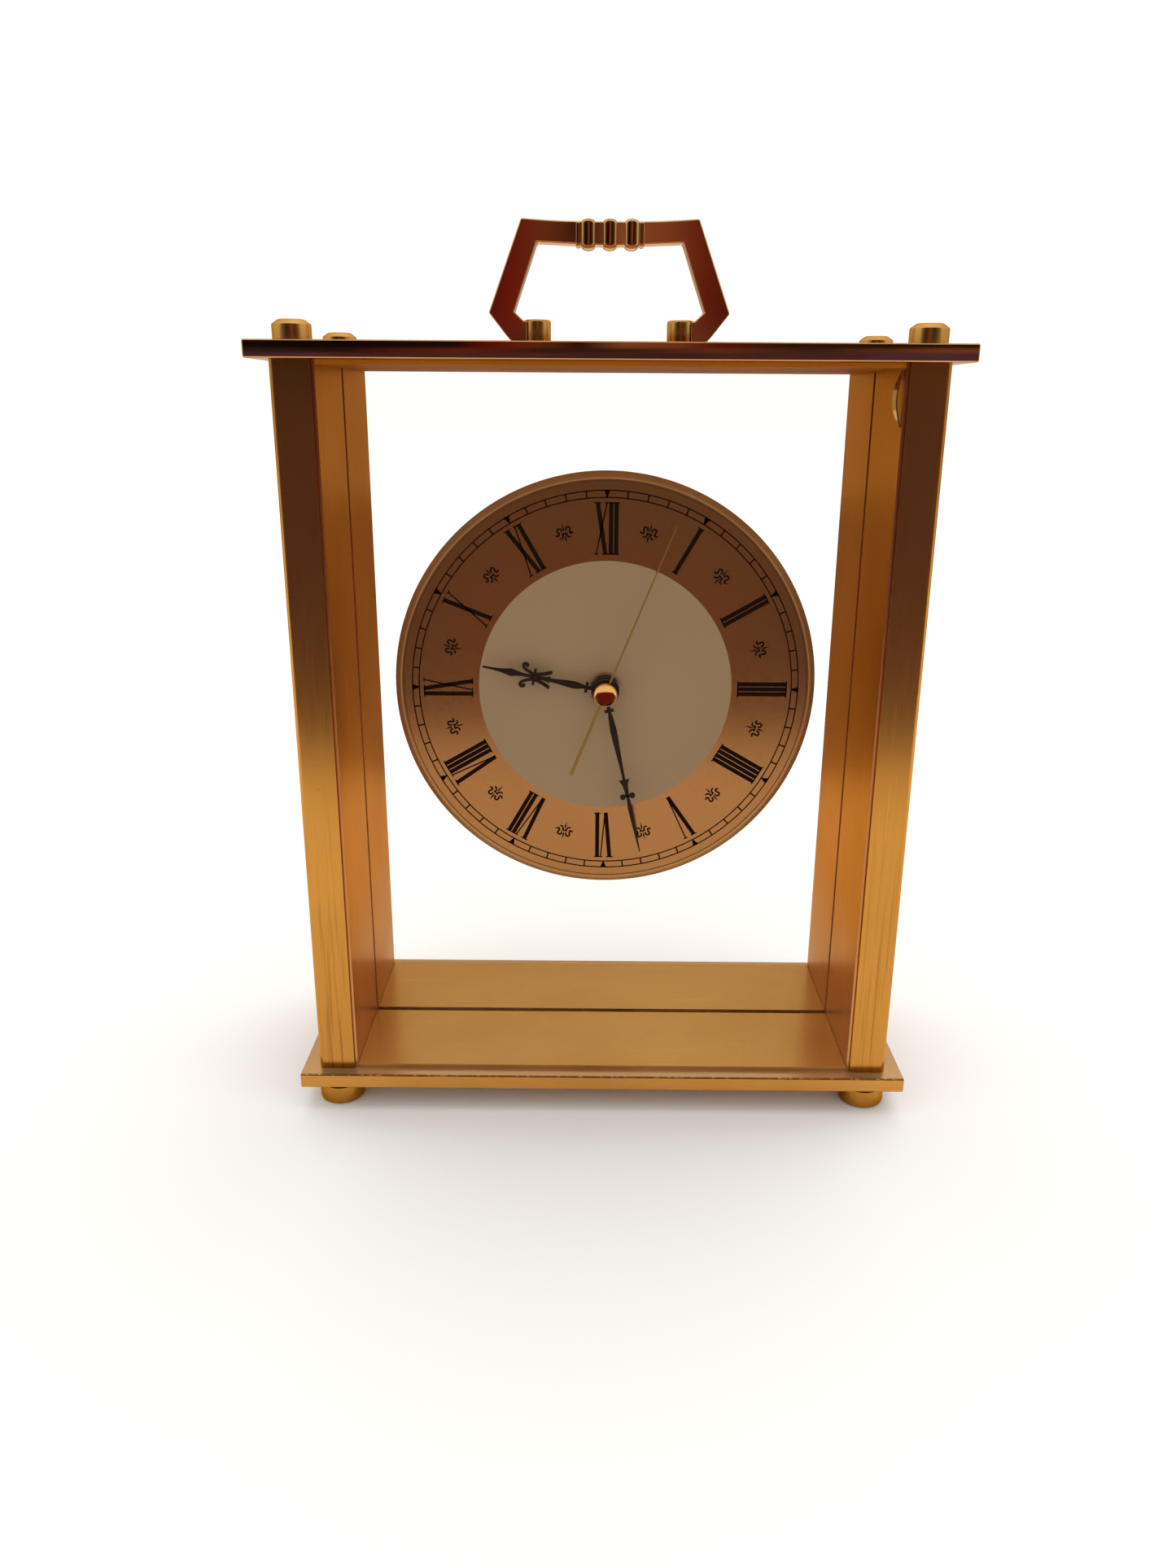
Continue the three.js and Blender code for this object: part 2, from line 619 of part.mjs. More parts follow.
place('fifth_wheel', carve([
  gear(TEETH.fifth, moduleFifth, fifth, rotor, true, LAYER.fifth),
  gear(TEETH.fifthPinion, moduleSeconds, fifth, middle, false, LAYER.fifthPinion),
  pivots(),
]), whitePlastic, dialGroup, at(fifth));

place('rotor', carve([
  gear(TEETH.rotor, moduleFifth, rotor, fifth, false, LAYER.rotor),
  disc(MAGNET_R, ...LAYER.magnet, 20),
  pivots(ROTOR_PIVOT_R),
]), blackPlastic, dialGroup, at(rotor));

place('setting_knob', carve([
  gear(TEETH.setting, moduleMinute, setting, minute, true, LAYER.setting),
  disc(SETTING_ARBOR_R, FRONT_CASE[1] + 0.2, LAYER.knob[0] + 0.4, 12),
  gear(GRIP_TEETH, GRIP_MODULE, setting, minute, false, LAYER.knob),
]), blackPlastic, dialGroup, at(setting));

// ------------------------------------------------------------- movement case

// A movement plate: a disc cut straight above the battery, with its bearings.
function movementPlate(range, holes) {
  const shape = new THREE.Shape();
  const angle = Math.asin(MOVEMENT_LOW / MOVEMENT_R);
  shape.absarc(0, 0, MOVEMENT_R, angle, Math.PI - angle, false);
  for (const [[x, z], radius] of holes) circleHole(shape, x, z, radius);
  return slab(shape, ...range);
}

const pillarHoles = PILLARS.map((spot) => [spot, PILLAR_R + FIT]);
const arborHoles = [third, fifth, rotor].map((spot) => [spot, BEARING_R]);

place('movement_front_case', carve([
  disc(DRUM_R - DRUM_WALL - FIT, ...FRONT_CASE, 40),
  disc(BUSH_R, BUSH_FRONT, FRONT_CASE[1]),
], [
  disc(BUSH_BORE, BUSH_FRONT - 1, FRONT_CASE[1] + 0.4, 20),
  disc(BUSH_BORE + 0.4, FRONT_CASE[1] - 0.8, FRONT_CASE[1] + 0.4, 20),
]), blackPlastic, dialGroup);

place('movement_mid_plate', movementPlate(MID_PLATE, [
  ...pillarHoles, ...arborHoles, [middle, CANNON_R + FIT], [setting, SETTING_HOLE_R],
]), whitePlastic, dialGroup);

place('movement_rear_plate', movementPlate(REAR_PLATE, [
  ...pillarHoles, ...arborHoles, [middle, ARBOR_R + 0.4], [setting, SETTING_HOLE_R],
]), blackPlastic, dialGroup);

PILLARS.forEach((spot, i) => {
  place(`pillar_${i + 1}`, spun([
    [0, FRONT_CASE[1]], [PILLAR_COLLAR_R, FRONT_CASE[1]], [PILLAR_COLLAR_R, MID_PLATE[0]],
    [PILLAR_R, MID_PLATE[0]], [PILLAR_R, REAR_PLATE[1]], [0, REAR_PLATE[1]],
  ], 12), steel, dialGroup, at(spot));
});

// The drum that closes the movement from behind: a rim against the front
// case, a rear wall with the battery window and the knob hole, and two rails
// that hold the battery door.
function railPieces() {
  const top = DOOR.back + RAIL.height;
  const edges = [[DOOR.high, 1], [DOOR.low, -1]];
  return edges.flatMap(([edge, sign]) => {
    const span = (a, b) => [Math.min(a, b), Math.max(a, b)];
    const [webLow, webHigh] = span(edge + sign * FIT, edge + sign * RAIL.web);
    const [lipLow, lipHigh] = span(edge - sign * RAIL.lip, edge + sign * RAIL.web);
    return [
      box([-RAIL.x, REAR_WALL[1] - 0.5, webLow], [RAIL.x, top, webHigh]),
      box([-RAIL.x, DOOR.back + FIT, lipLow], [RAIL.x, top, lipHigh]),
    ];
  });
}

place('movement_drum', carve([
  spun([
    [0, REAR_WALL[0]], [DRUM_R - DRUM_WALL, REAR_WALL[0]], [DRUM_R - DRUM_WALL, FRONT_CASE[0]],
    [DRUM_R, FRONT_CASE[0]], [DRUM_R, REAR_WALL[1] - 0.8], [DRUM_R - 0.8, REAR_WALL[1]],
    [0, REAR_WALL[1]],
  ], 40),
  ...railPieces(),
], [
  box([-WINDOW.x, REAR_WALL[0] - 1, WINDOW.low], [WINDOW.x, REAR_WALL[1] + 0.1, WINDOW.high]),
  disc(SETTING_HOLE_R + 0.1, REAR_WALL[0] - 1, REAR_WALL[1] + 1, 16).translate(...at(setting)),
]), goldBrass, dialGroup);

// The door slides along X between the rails; a thumb ridge helps it along.
place('battery_door', carve([
  box([-DOOR.x, DOOR.front, DOOR.low], [DOOR.x, DOOR.back, DOOR.high]),
  box(
    [-DOOR_RIDGE.x, DOOR.back - 0.2, DOOR_RIDGE.low],
    [DOOR_RIDGE.x, DOOR.back + DOOR_RIDGE.height, DOOR_RIDGE.high],
  ),
]), goldBrass, dialGroup);

// --------------------------------------------------------- electrical pieces

function capsule(radius, low, high) {
  return spun([
    [0, low], [radius - 0.5, low], [radius, low + 0.5], [radius, high - 0.5],
    [radius - 0.5, high], [BATTERY_TIP_R, high], [BATTERY_TIP_R, high + BATTERY_TIP_H],
    [0, high + BATTERY_TIP_H],
  ], 16).rotateZ(-Math.PI / 2);
}
place('battery', capsule(BATTERY_R, -BATTERY_L / 2, BATTERY_L / 2), silverCan, dialGroup,
  [0, BATTERY_Y, BATTERY_Z]);

// The positive contact is a flat leaf, the negative one a conical spring.
place('battery_contact_positive', box(
  [CONTACT_X, BATTERY_Y - CONTACT_HALF, BATTERY_Z - CONTACT_HALF],
  [CONTACT_X + CONTACT_T, BATTERY_Y + CONTACT_HALF, BATTERY_Z + CONTACT_HALF],
), steel, dialGroup);

class ConeSpiral extends THREE.Curve {
  getPoint(t, target = new THREE.Vector3()) {
    const angle = 2 * Math.PI * CONE.turns * t;
    const radius = CONE.wide + (CONE.narrow - CONE.wide) * t;
    return target.set(CONE.height * t, radius * Math.cos(angle), radius * Math.sin(angle));
  }
}
const wire = new THREE.Shape();
wire.absarc(0, 0, CONE.wire, 0, 2 * Math.PI, false);
place('battery_contact_negative', new THREE.ExtrudeGeometry(wire, {
  steps: 26, curveSegments: 3, bevelEnabled: false, extrudePath: new ConeSpiral(),
}), steel, dialGroup, [-CONTACT_X - 2.6, BATTERY_Y, BATTERY_Z]);

// The stator leads the coil's field round the rotor.
function makeStator() {
  const [left, low, right, high] = STATOR_OUT;
  const [gapLeft, gapLow, gapRight] = STATOR_IN;
  const shape = outline([
    [left, low], [right, low], [right, high], [gapRight, high], [gapRight, gapLow],
    [gapLeft, gapLow], [gapLeft, high], [left, high],
  ]);
  circleHole(shape, rotor[0], rotor[1], ROTOR_HOLE_R);
  return slab(shape, ...STATOR, 8);
}
place('stator', makeStator(), steel, dialGroup);
place('coil_core', box(
  [STATOR_OUT[0], CORE.front, COIL.z - CORE.half],
  [STATOR_OUT[2], STATOR[0], COIL.z + CORE.half],
), steel, dialGroup);

// The coil is wound on a bobbin with two flanges, and the core passes through it.
function makeCoil() {
  const inside = COIL.half - COIL.flange;
  const bobbin = spun([
    [0, -COIL.half], [COIL.radius, -COIL.half], [COIL.radius, -inside], [COIL.waist, -inside],
    [COIL.waist, inside], [COIL.radius, inside], [COIL.radius, COIL.half], [0, COIL.half],
  ], 16).rotateZ(-Math.PI / 2);
  const hole = CORE.half + 0.35;
  return carve([bobbin], [box([-COIL.half - 1, -hole, -hole], [COIL.half + 1, hole, hole])]);
}
place('coil', makeCoil(), copper, dialGroup, [COIL.x, COIL.y, COIL.z]);

place('circuit_board', box(BOARD.low, BOARD.high), green, dialGroup);
place('quartz_crystal', disc(CRYSTAL.radius, -CRYSTAL.half, CRYSTAL.half, 16)
  .rotateX(Math.PI / 2), silverCan, dialGroup, CRYSTAL.place);

export default clock;
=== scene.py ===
"""Looks of a brass mantel clock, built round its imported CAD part.

Lengths in the tables below are millimetres; MM turns them into metres. The
frame is the part's own: the origin on the floor under the middle of the case,
+Z up, front towards -Y.
"""

import math

import bpy
import bmesh
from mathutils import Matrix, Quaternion, Vector


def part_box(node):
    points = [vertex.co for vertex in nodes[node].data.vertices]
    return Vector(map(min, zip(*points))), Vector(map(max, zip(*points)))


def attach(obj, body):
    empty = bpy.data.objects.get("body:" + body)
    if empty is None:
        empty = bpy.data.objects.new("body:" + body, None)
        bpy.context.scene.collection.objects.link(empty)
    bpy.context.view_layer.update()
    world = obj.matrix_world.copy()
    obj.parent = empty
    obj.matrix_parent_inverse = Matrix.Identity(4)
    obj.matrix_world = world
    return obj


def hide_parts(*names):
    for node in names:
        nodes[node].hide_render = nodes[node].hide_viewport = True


MM = 0.001
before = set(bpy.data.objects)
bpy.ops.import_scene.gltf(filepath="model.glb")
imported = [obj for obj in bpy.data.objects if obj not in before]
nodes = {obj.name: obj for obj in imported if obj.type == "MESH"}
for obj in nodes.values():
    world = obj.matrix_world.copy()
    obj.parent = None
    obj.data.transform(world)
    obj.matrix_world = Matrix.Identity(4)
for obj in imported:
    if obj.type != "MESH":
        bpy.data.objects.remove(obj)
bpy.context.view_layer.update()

# ---- dimensions

PLATE_TOP = 199.0          # top of the top plate
BASE_TOP = 11.0            # top of the base plate
BASE_FRONT = -35.0         # its front face
DIAL_Z = 112.4             # centre of the dial
DIAL_Y = -4.0              # front face of the dial
DIAL_BACK = -1.05          # its rear face, against the pane
DIAL_HOLE_R = 3.6          # hole for the movement's bush
DISC_R = 34.2              # cream middle of the dial
DIAL_R = 55.0
BEZEL_R = 57.0
TRACK = (50.4, 52.2)       # the two circles of the minute track
RIM_LINE_R = 54.5          # fine line just inside the bezel
NUMERAL = (35.8, 49.2)     # foot and top of the numerals
ORNAMENT_R = 42.6          # middle of the ornaments
PRINT = (DIAL_Y + 0.02, DIAL_Y - 0.04)  # back and front of the print
HOUR_ANGLE = 281.2         # of the hands, clockwise from twelve
MINUTE_ANGLE = 167.5
SECOND_ANGLE = 22.0
CROSSING = 0.02            # depth between hand strokes that cross


# ---- material nodes

def new_material(name, colour, roughness, metallic=0.0, **sockets):
    """A material with its Principled shader's plain values set."""
    material = bpy.data.materials.new(name)
    material.use_nodes = True
    shader = material.node_tree.nodes["Principled BSDF"]
    shader.inputs["Base Color"].default_value = (*colour, 1)
    shader.inputs["Roughness"].default_value = roughness
    shader.inputs["Metallic"].default_value = metallic
    for socket, value in sockets.items():
        shader.inputs[socket.replace("_", " ")].default_value = value
    return material


def add_node(material, kind, settings=None, **inputs):
    """A node with its settings and input values; a socket given as a value is linked."""
    tree = material.node_tree
    node = tree.nodes.new(kind)
    for key, value in (settings or {}).items():
        setattr(node, key, value)
    for key, value in inputs.items():
        socket = node.inputs[key.replace("_", " ")]
        if isinstance(value, bpy.types.NodeSocket):
            tree.links.new(value, socket)
        else:
            socket.default_value = value
    return node


def object_noise(material, stretch, scale, detail=3.0, seed=0.0):
    """Noise in the object's own space, stretched along the axes with a small factor."""
    place = add_node(material, "ShaderNodeTexCoord")
    spread = add_node(material, "ShaderNodeMapping", Vector=place.outputs["Object"],
                      Scale=stretch, Location=(seed, seed, seed))
    noise = add_node(material, "ShaderNodeTexNoise", Vector=spread.outputs["Vector"],
                     Scale=scale, Detail=detail)
    return noise.outputs["Fac"]


def ramp(material, factor, stops):
    """A colour ramp over factor, from (position, colour) pairs."""
    node = add_node(material, "ShaderNodeValToRGB", Fac=factor)
    band = node.color_ramp
    while len(band.elements) < len(stops):
        band.elements.new(0.5)
    for element, (position, colour) in zip(band.elements, stops):
        element.position = position
        element.color = (*colour, 1)
    return node.outputs["Color"]


def remap(material, factor, low, high, start=0.3, end=0.7):
    """Map noise from start..end to low..high."""
    node = add_node(material, "ShaderNodeMapRange", Value=factor)
    for index, value in enumerate((start, end, low, high)):
        node.inputs[index + 1].default_value = value
    return node.outputs["Result"]


def connect(material, socket, output):
    """Link an output to one of the Principled shader's sockets."""
    shader = material.node_tree.nodes["Principled BSDF"]
    material.node_tree.links.new(output, shader.inputs[socket])


def bump(material, height, strength, distance):
    """Raise the surface by height times distance, in metres."""
    node = add_node(material, "ShaderNodeBump", Height=height,
                    Strength=strength, Distance=distance)
    connect(material, "Normal", node.outputs["Normal"])


def mix_colour(material, factor, first, second):
    """Blend two colours, each a plain tuple or a linked socket."""
    node = add_node(material, "ShaderNodeMix", {"data_type": "RGBA"})
    material.node_tree.links.new(factor, node.inputs[0])
    for index, value in ((6, first), (7, second)):
        if isinstance(value, bpy.types.NodeSocket):
            material.node_tree.links.new(value, node.inputs[index])
        else:
            node.inputs[index].default_value = (*value, 1)
    return node.outputs[2]


def combine(material, operation, first, second):
    node = add_node(material, "ShaderNodeMath", {"operation": operation})
    material.node_tree.links.new(first, node.inputs[0])
    material.node_tree.links.new(second, node.inputs[1])
    return node.outputs[0]


def multiply(material, first, second):
    return combine(material, "MULTIPLY", first, second)


def along_axis(material, axis, start, end):
    """0 to 1 as the object coordinate goes from start to end, in metres."""
    place = add_node(material, "ShaderNodeTexCoord")
    split = add_node(material, "ShaderNodeSeparateXYZ", Vector=place.outputs["Object"])
    return remap(material, split.outputs[axis], 0.0, 1.0, start, end)


def facing(material, axis, start, end):
    """0 to 1 as that part of the surface's direction goes from start to end."""
    geometry = add_node(material, "ShaderNodeNewGeometry")
    split = add_node(material, "ShaderNodeSeparateXYZ", Vector=geometry.outputs["True Normal"])
    return remap(material, split.outputs[axis], 0.0, 1.0, start, end)


# ---- materials

EDGE_TINT = (0.8, 0.6, 0.35, 1)      # grazing reflections keep the metal's colour
WARM_TINT = (0.72, 0.46, 0.26, 1)
PALE_TINT = (0.95, 0.82, 0.60, 1)
EVENLY = (1, 1, 1)


def stretched(along, lengthwise, across):
    """Noise factors along one named axis and across it."""
    return [lengthwise if axis == along else across for axis in "xyz"]


def dust_and_pale_front(material, colour, patches, dust, pale_front_too):
    """Dull the faces that look up with dust, and if asked make those that look to the front
    paler and duller the same way.
    """
    where = facing(material, 2, 0.5, 0.9)
    if pale_front_too:
        where = combine(material, "MAXIMUM", where, facing(material, 1, -0.5, -0.9))
    dulled = multiply(material, where, remap(material, patches, 0.75, 1.0, 0.3, 0.6))
    connect(material, "Metallic", remap(material, dulled, 1.0, 0.65, 0.0, 1.0))
    return mix_colour(material, dulled, colour, dust)


def draw_streaks(material, colour, along, span, streak_dark_colour):
    """Dark streaks that come in from the first height of span to the second."""
    grain = object_noise(material, stretched(along, 0.5, 24.0), 60.0, 4.0, 8.3)
    worn = multiply(material, remap(material, grain, 0.0, 0.75, 0.52, 0.70),
                    along_axis(material, 2, *span))
    return mix_colour(material, worn, colour, streak_dark_colour)


def paint_light_at_foot(material, colour, patches, span):
    """Painted light: the surface made paler and duller from the first height of span to the
    second.
    """
    painted_light_mask = multiply(material, along_axis(material, 2, *span),
                    remap(material, patches, 0.4, 0.8))
    connect(material, "Metallic", remap(material, painted_light_mask, 1.0, 0.6, 0.0, 1.0))
    return mix_colour(material, painted_light_mask, colour, (0.60, 0.36, 0.14))


def darken_front_edge(material, colour, specks):
    """A dark broken line along the base plate's upper front edge."""
    edge = multiply(
        material,
        along_axis(material, 2, (BASE_TOP - 0.45) * MM, (BASE_TOP - 0.15) * MM),
        along_axis(material, 1, (BASE_FRONT + 0.8) * MM, (BASE_FRONT + 0.3) * MM))
    broken_up = remap(material, specks, 0.2, 0.9, 0.38, 0.46)
    return mix_colour(material, multiply(material, edge, broken_up), colour, (0.15, 0.07, 0.025))


def scratch(material, colour, patches, along, bright):
    """A few long fine scratches, gathered in patches."""
    fine = object_noise(material, stretched(along, 0.02, 3.5), 700.0, 1.0, 2.2)
    scratches = multiply(material, remap(material, fine, 0.0, 0.6, 0.69, 0.71),
                         remap(material, patches, 0.0, 1.0, 0.5, 0.6))
    return mix_colour(material, scratches, colour, bright)


def brushed(name, dark, light, along, roughness=(0.22, 0.28), tint=EDGE_TINT, dust=None,
            streaks=None, relief=0.07, light_painted_at_foot=None, dark_front_line=False, pale_front_too=False):
    """Metal with fine lines along one axis, tarnish, scratches and small specks."""
    material = new_material(name, light, roughness[0], 1.0, Specular_Tint=tint)
    lines = object_noise(material, stretched(along, 1.0, 40.0), 60.0, 5.0)
    patches = object_noise(material, EVENLY, 28.0, 4.0, 3.1)
    specks = object_noise(material, EVENLY, 900.0, 2.0, 7.7)
    tone = add_node(material, "ShaderNodeMath", {"operation": "MULTIPLY_ADD"})
    material.node_tree.links.new(lines, tone.inputs[0])
    tone.inputs[1].default_value = 0.25
    material.node_tree.links.new(patches, tone.inputs[2])
    colour = ramp(material, tone.outputs[0], [(0.42, dark), (0.82, light)])
    if dust:
        colour = dust_and_pale_front(material, colour, patches, dust, pale_front_too)
    if streaks:
        colour = draw_streaks(material, colour, along, streaks, [c * 0.4 for c in dark])
    # painted light, paler and duller towards the foot
    if light_painted_at_foot:
        colour = paint_light_at_foot(material, colour, patches, light_painted_at_foot)
    if dark_front_line:
        colour = darken_front_edge(material, colour, specks)
    colour = scratch(material, colour, patches, along, [min(c * 1.6, 1.0) for c in light])
    spot = remap(material, specks, 0.0, 0.6, 0.72, 0.80)
    colour = mix_colour(material, spot, colour, [c * 0.45 for c in dark])
    connect(material, "Base Color", colour)
    connect(material, "Roughness", remap(material, lines, *roughness))
    if relief:
        bump(material, lines, relief, 0.00003)
    return material


def polished(name, dark, light, roughness=(0.05, 0.14), scale=45.0):
    """Polished metal with smudges and a few hairline marks."""
    material = new_material(name, light, roughness[0], 1.0, Specular_Tint=EDGE_TINT)
    smudge = object_noise(material, EVENLY, scale, 5.0)
    marks = object_noise(material, (8, 8, 60), 60.0, 3.0, 4.2)
    connect(material, "Base Color", ramp(material, smudge, [(0.3, dark), (0.7, light)]))
    connect(material, "Roughness", remap(material, smudge, *roughness))
    bump(material, marks, 0.06, 0.00002)
    return material


def plain(name, colour, roughness, metallic=0.0, scale=120.0, depth=0.25, **sockets):
    """A moulded, wound or printed surface with a fine mottle."""
    material = new_material(name, colour, roughness, metallic, **sockets)
    mottle = object_noise(material, EVENLY, scale, 4.0)
    low = [c * (1 - depth) for c in colour]
    connect(material, "Base Color", ramp(material, mottle, [(0.3, low), (0.7, colour)]))
    connect(material, "Roughness", remap(material, mottle, roughness, roughness * 1.3))
    bump(material, mottle, 0.15, 0.00003)
    return material


def make_ceiling_brass():
    """The ceiling panels are seen from beneath: matt, without a mirror image, in a dark brown
    that is partly the brass's own colour and partly painted shade.
    """
    material = brushed("ceiling_brass", (0.29, 0.088, 0.006), (0.35, 0.108, 0.008), "x",
                       (0.45, 0.55))
    shader = material.node_tree.nodes["Principled BSDF"]
    shader.inputs["Metallic"].default_value = 0.0
    shader.inputs["Specular IOR Level"].default_value = 0.01
    return material


# dark streaks, darker towards the foot of the posts
post_brass = brushed("post_brass", (0.54, 0.236, 0.042), (0.60, 0.265, 0.050), "z",
                     (0.19, 0.23), PALE_TINT, streaks=(0.10, 0.012))
# a dark broken line along the base plate's upper front edge
base_brass = brushed("base_brass", (0.55, 0.25, 0.054), (0.64, 0.30, 0.068), "x",
                     dust=(0.61, 0.36, 0.165), dark_front_line=True)
# dust on the floor panels' tops; their front faces are made paler and duller too
deck_brass = brushed("deck_brass", (0.405, 0.173, 0.033), (0.525, 0.232, 0.046), "x",
                     (0.23, 0.27), dust=(0.60, 0.305, 0.084), relief=0.0, pale_front_too=True)
# the ceiling panels' darker matt brass is partly painted shade
ceiling_brass = make_ceiling_brass()
# the side panels get painted light, paler and duller towards their foot
side_brass = brushed("side_brass", (0.52, 0.208, 0.070), (0.62, 0.258, 0.090), "z",
                     (0.28, 0.36), WARM_TINT, light_painted_at_foot=(0.055, 0.014))
plate_brass = polished("plate_brass", (0.55, 0.28, 0.12), (0.66, 0.35, 0.15), (0.04, 0.09))
handle_brass = polished("handle_brass", (0.62, 0.32, 0.13), (0.80, 0.46, 0.20), (0.05, 0.10))
gold = polished("gold", (0.62, 0.31, 0.065), (0.76, 0.41, 0.10), (0.12, 0.2), 90.0)
knob_gold = polished("knob_gold", (0.60, 0.31, 0.08), (0.72, 0.39, 0.11), (0.2, 0.28), 90.0)
hand_gold = plain("hand_gold", (0.27, 0.14, 0.028), 0.45, 0.5, 60.0, 0.1,
                  Specular_Tint=EDGE_TINT)
nut_steel = polished("nut_steel", (0.55, 0.48, 0.40), (0.75, 0.67, 0.56), (0.2, 0.3), 120.0)
gloss_black = plain("gloss_black", (0.012, 0.008, 0.006), 0.12, 0.0, 200.0)
drum_brass = brushed("drum_brass", (0.50, 0.24, 0.055), (0.62, 0.31, 0.075), "x", (0.25, 0.32))
door_brass = brushed("door_brass", (0.54, 0.26, 0.06), (0.66, 0.33, 0.08), "z", (0.22, 0.3))
foot_gold = polished("foot_gold", (0.42, 0.175, 0.026), (0.52, 0.235, 0.042), (0.1, 0.18), 90.0)
bezel_gold = plain("bezel_gold", (0.50, 0.27, 0.10), 0.42, 0.55, 60.0, 0.12,
                   Specular_IOR_Level=0.08, Specular_Tint=EDGE_TINT)
steel = polished("steel", (0.5, 0.5, 0.48), (0.72, 0.72, 0.70), (0.18, 0.3), 120.0)
ink = plain("ink", (0.011, 0.004, 0.002), 0.8, Specular_IOR_Level=0.05)
pale_ink = plain("pale_ink", (0.08, 0.035, 0.016), 0.8, Specular_IOR_Level=0.05)
lacquer = plain("lacquer", (0.012, 0.006, 0.004), 0.38, 0.0, 200.0, Specular_IOR_Level=0.22,
                Specular_Tint=(1.0, 0.72, 0.5, 1))
white_plastic = plain("white_plastic", (0.68, 0.66, 0.60), 0.45)
black_plastic = plain("black_plastic", (0.018, 0.018, 0.019), 0.45)
magnet_black = plain("magnet_black", (0.03, 0.03, 0.032), 0.4)
copper = plain("copper", (0.62, 0.24, 0.10), 0.3, 1.0)
board_green = plain("board_green", (0.02, 0.11, 0.05), 0.35)
battery_wrap = plain("battery_wrap", (0.06, 0.065, 0.07), 0.3, 0.3)
cap_gold = polished("cap_gold", (0.66, 0.36, 0.10), (0.72, 0.41, 0.13), (0.03, 0.06), 200.0)
spring_gold = polished("spring_gold", (0.46, 0.28, 0.10), (0.60, 0.40, 0.17), (0.08, 0.14), 90.0)


def make_dial_gold():
    """Satin dial metal, finely spun, with a soft drift in tone."""
    material = new_material("dial_gold", (0.36, 0.17, 0.056), 0.2, 0.8)
    drift = object_noise(material, EVENLY, 14.0, 2.0, 5.0)
    fine = object_noise(material, EVENLY, 700.0, 3.0)
    connect(material, "Base Color",
            ramp(material, drift, [(0.3, (0.345, 0.144, 0.042)), (0.7, (0.395, 0.17, 0.054))]))
    connect(material, "Roughness", remap(material, fine, 0.16, 0.2))
    bump(material, fine, 0.05, 0.00001)
    return material


def make_cream():
    """Matt cream paint with a faint mottle."""
    material = new_material("cream", (0.285, 0.172, 0.083), 0.45)
    drift = object_noise(material, EVENLY, 26.0, 3.0, 9.0)
    fine = object_noise(material, EVENLY, 900.0, 3.0)
    connect(material, "Base Color",
            ramp(material, drift, [(0.3, (0.265, 0.158, 0.069)), (0.7, (0.285, 0.171, 0.077))]))
    bump(material, fine, 0.15, 0.00002)
    return material


def make_glass():
    """A clear pane: it lets light straight through and reflects by angle."""
    material = bpy.data.materials.new("pane_glass")
    material.use_nodes = True
    tree = material.node_tree
    tree.nodes.remove(tree.nodes["Principled BSDF"])
    out = tree.nodes["Material Output"]
    clear = add_node(material, "ShaderNodeBsdfTransparent", Color=(0.998, 1.0, 0.998, 1))
    gloss = add_node(material, "ShaderNodeBsdfGlossy", Roughness=0.02)
    smear = object_noise(material, EVENLY, 30.0, 4.0)
    tree.links.new(remap(material, smear, 0.01, 0.05), gloss.inputs["Roughness"])
    angle = add_node(material, "ShaderNodeLayerWeight", Blend=0.5)
    steep = add_node(material, "ShaderNodeMath", {"operation": "POWER"})
    tree.links.new(angle.outputs["Facing"], steep.inputs[0])
    steep.inputs[1].default_value = 4.0
    share = remap(material, steep.outputs[0], 0.022, 0.6, 0.0, 1.0)
    mixed = add_node(material, "ShaderNodeMixShader", Fac=share)
    tree.links.new(clear.outputs[0], mixed.inputs[1])
    tree.links.new(gloss.outputs[0], mixed.inputs[2])
    tree.links.new(mixed.outputs[0], out.inputs["Surface"])
    return material


dial_gold = make_dial_gold()
cream = make_cream()
pane_glass = make_glass()


# ---- mesh gathering

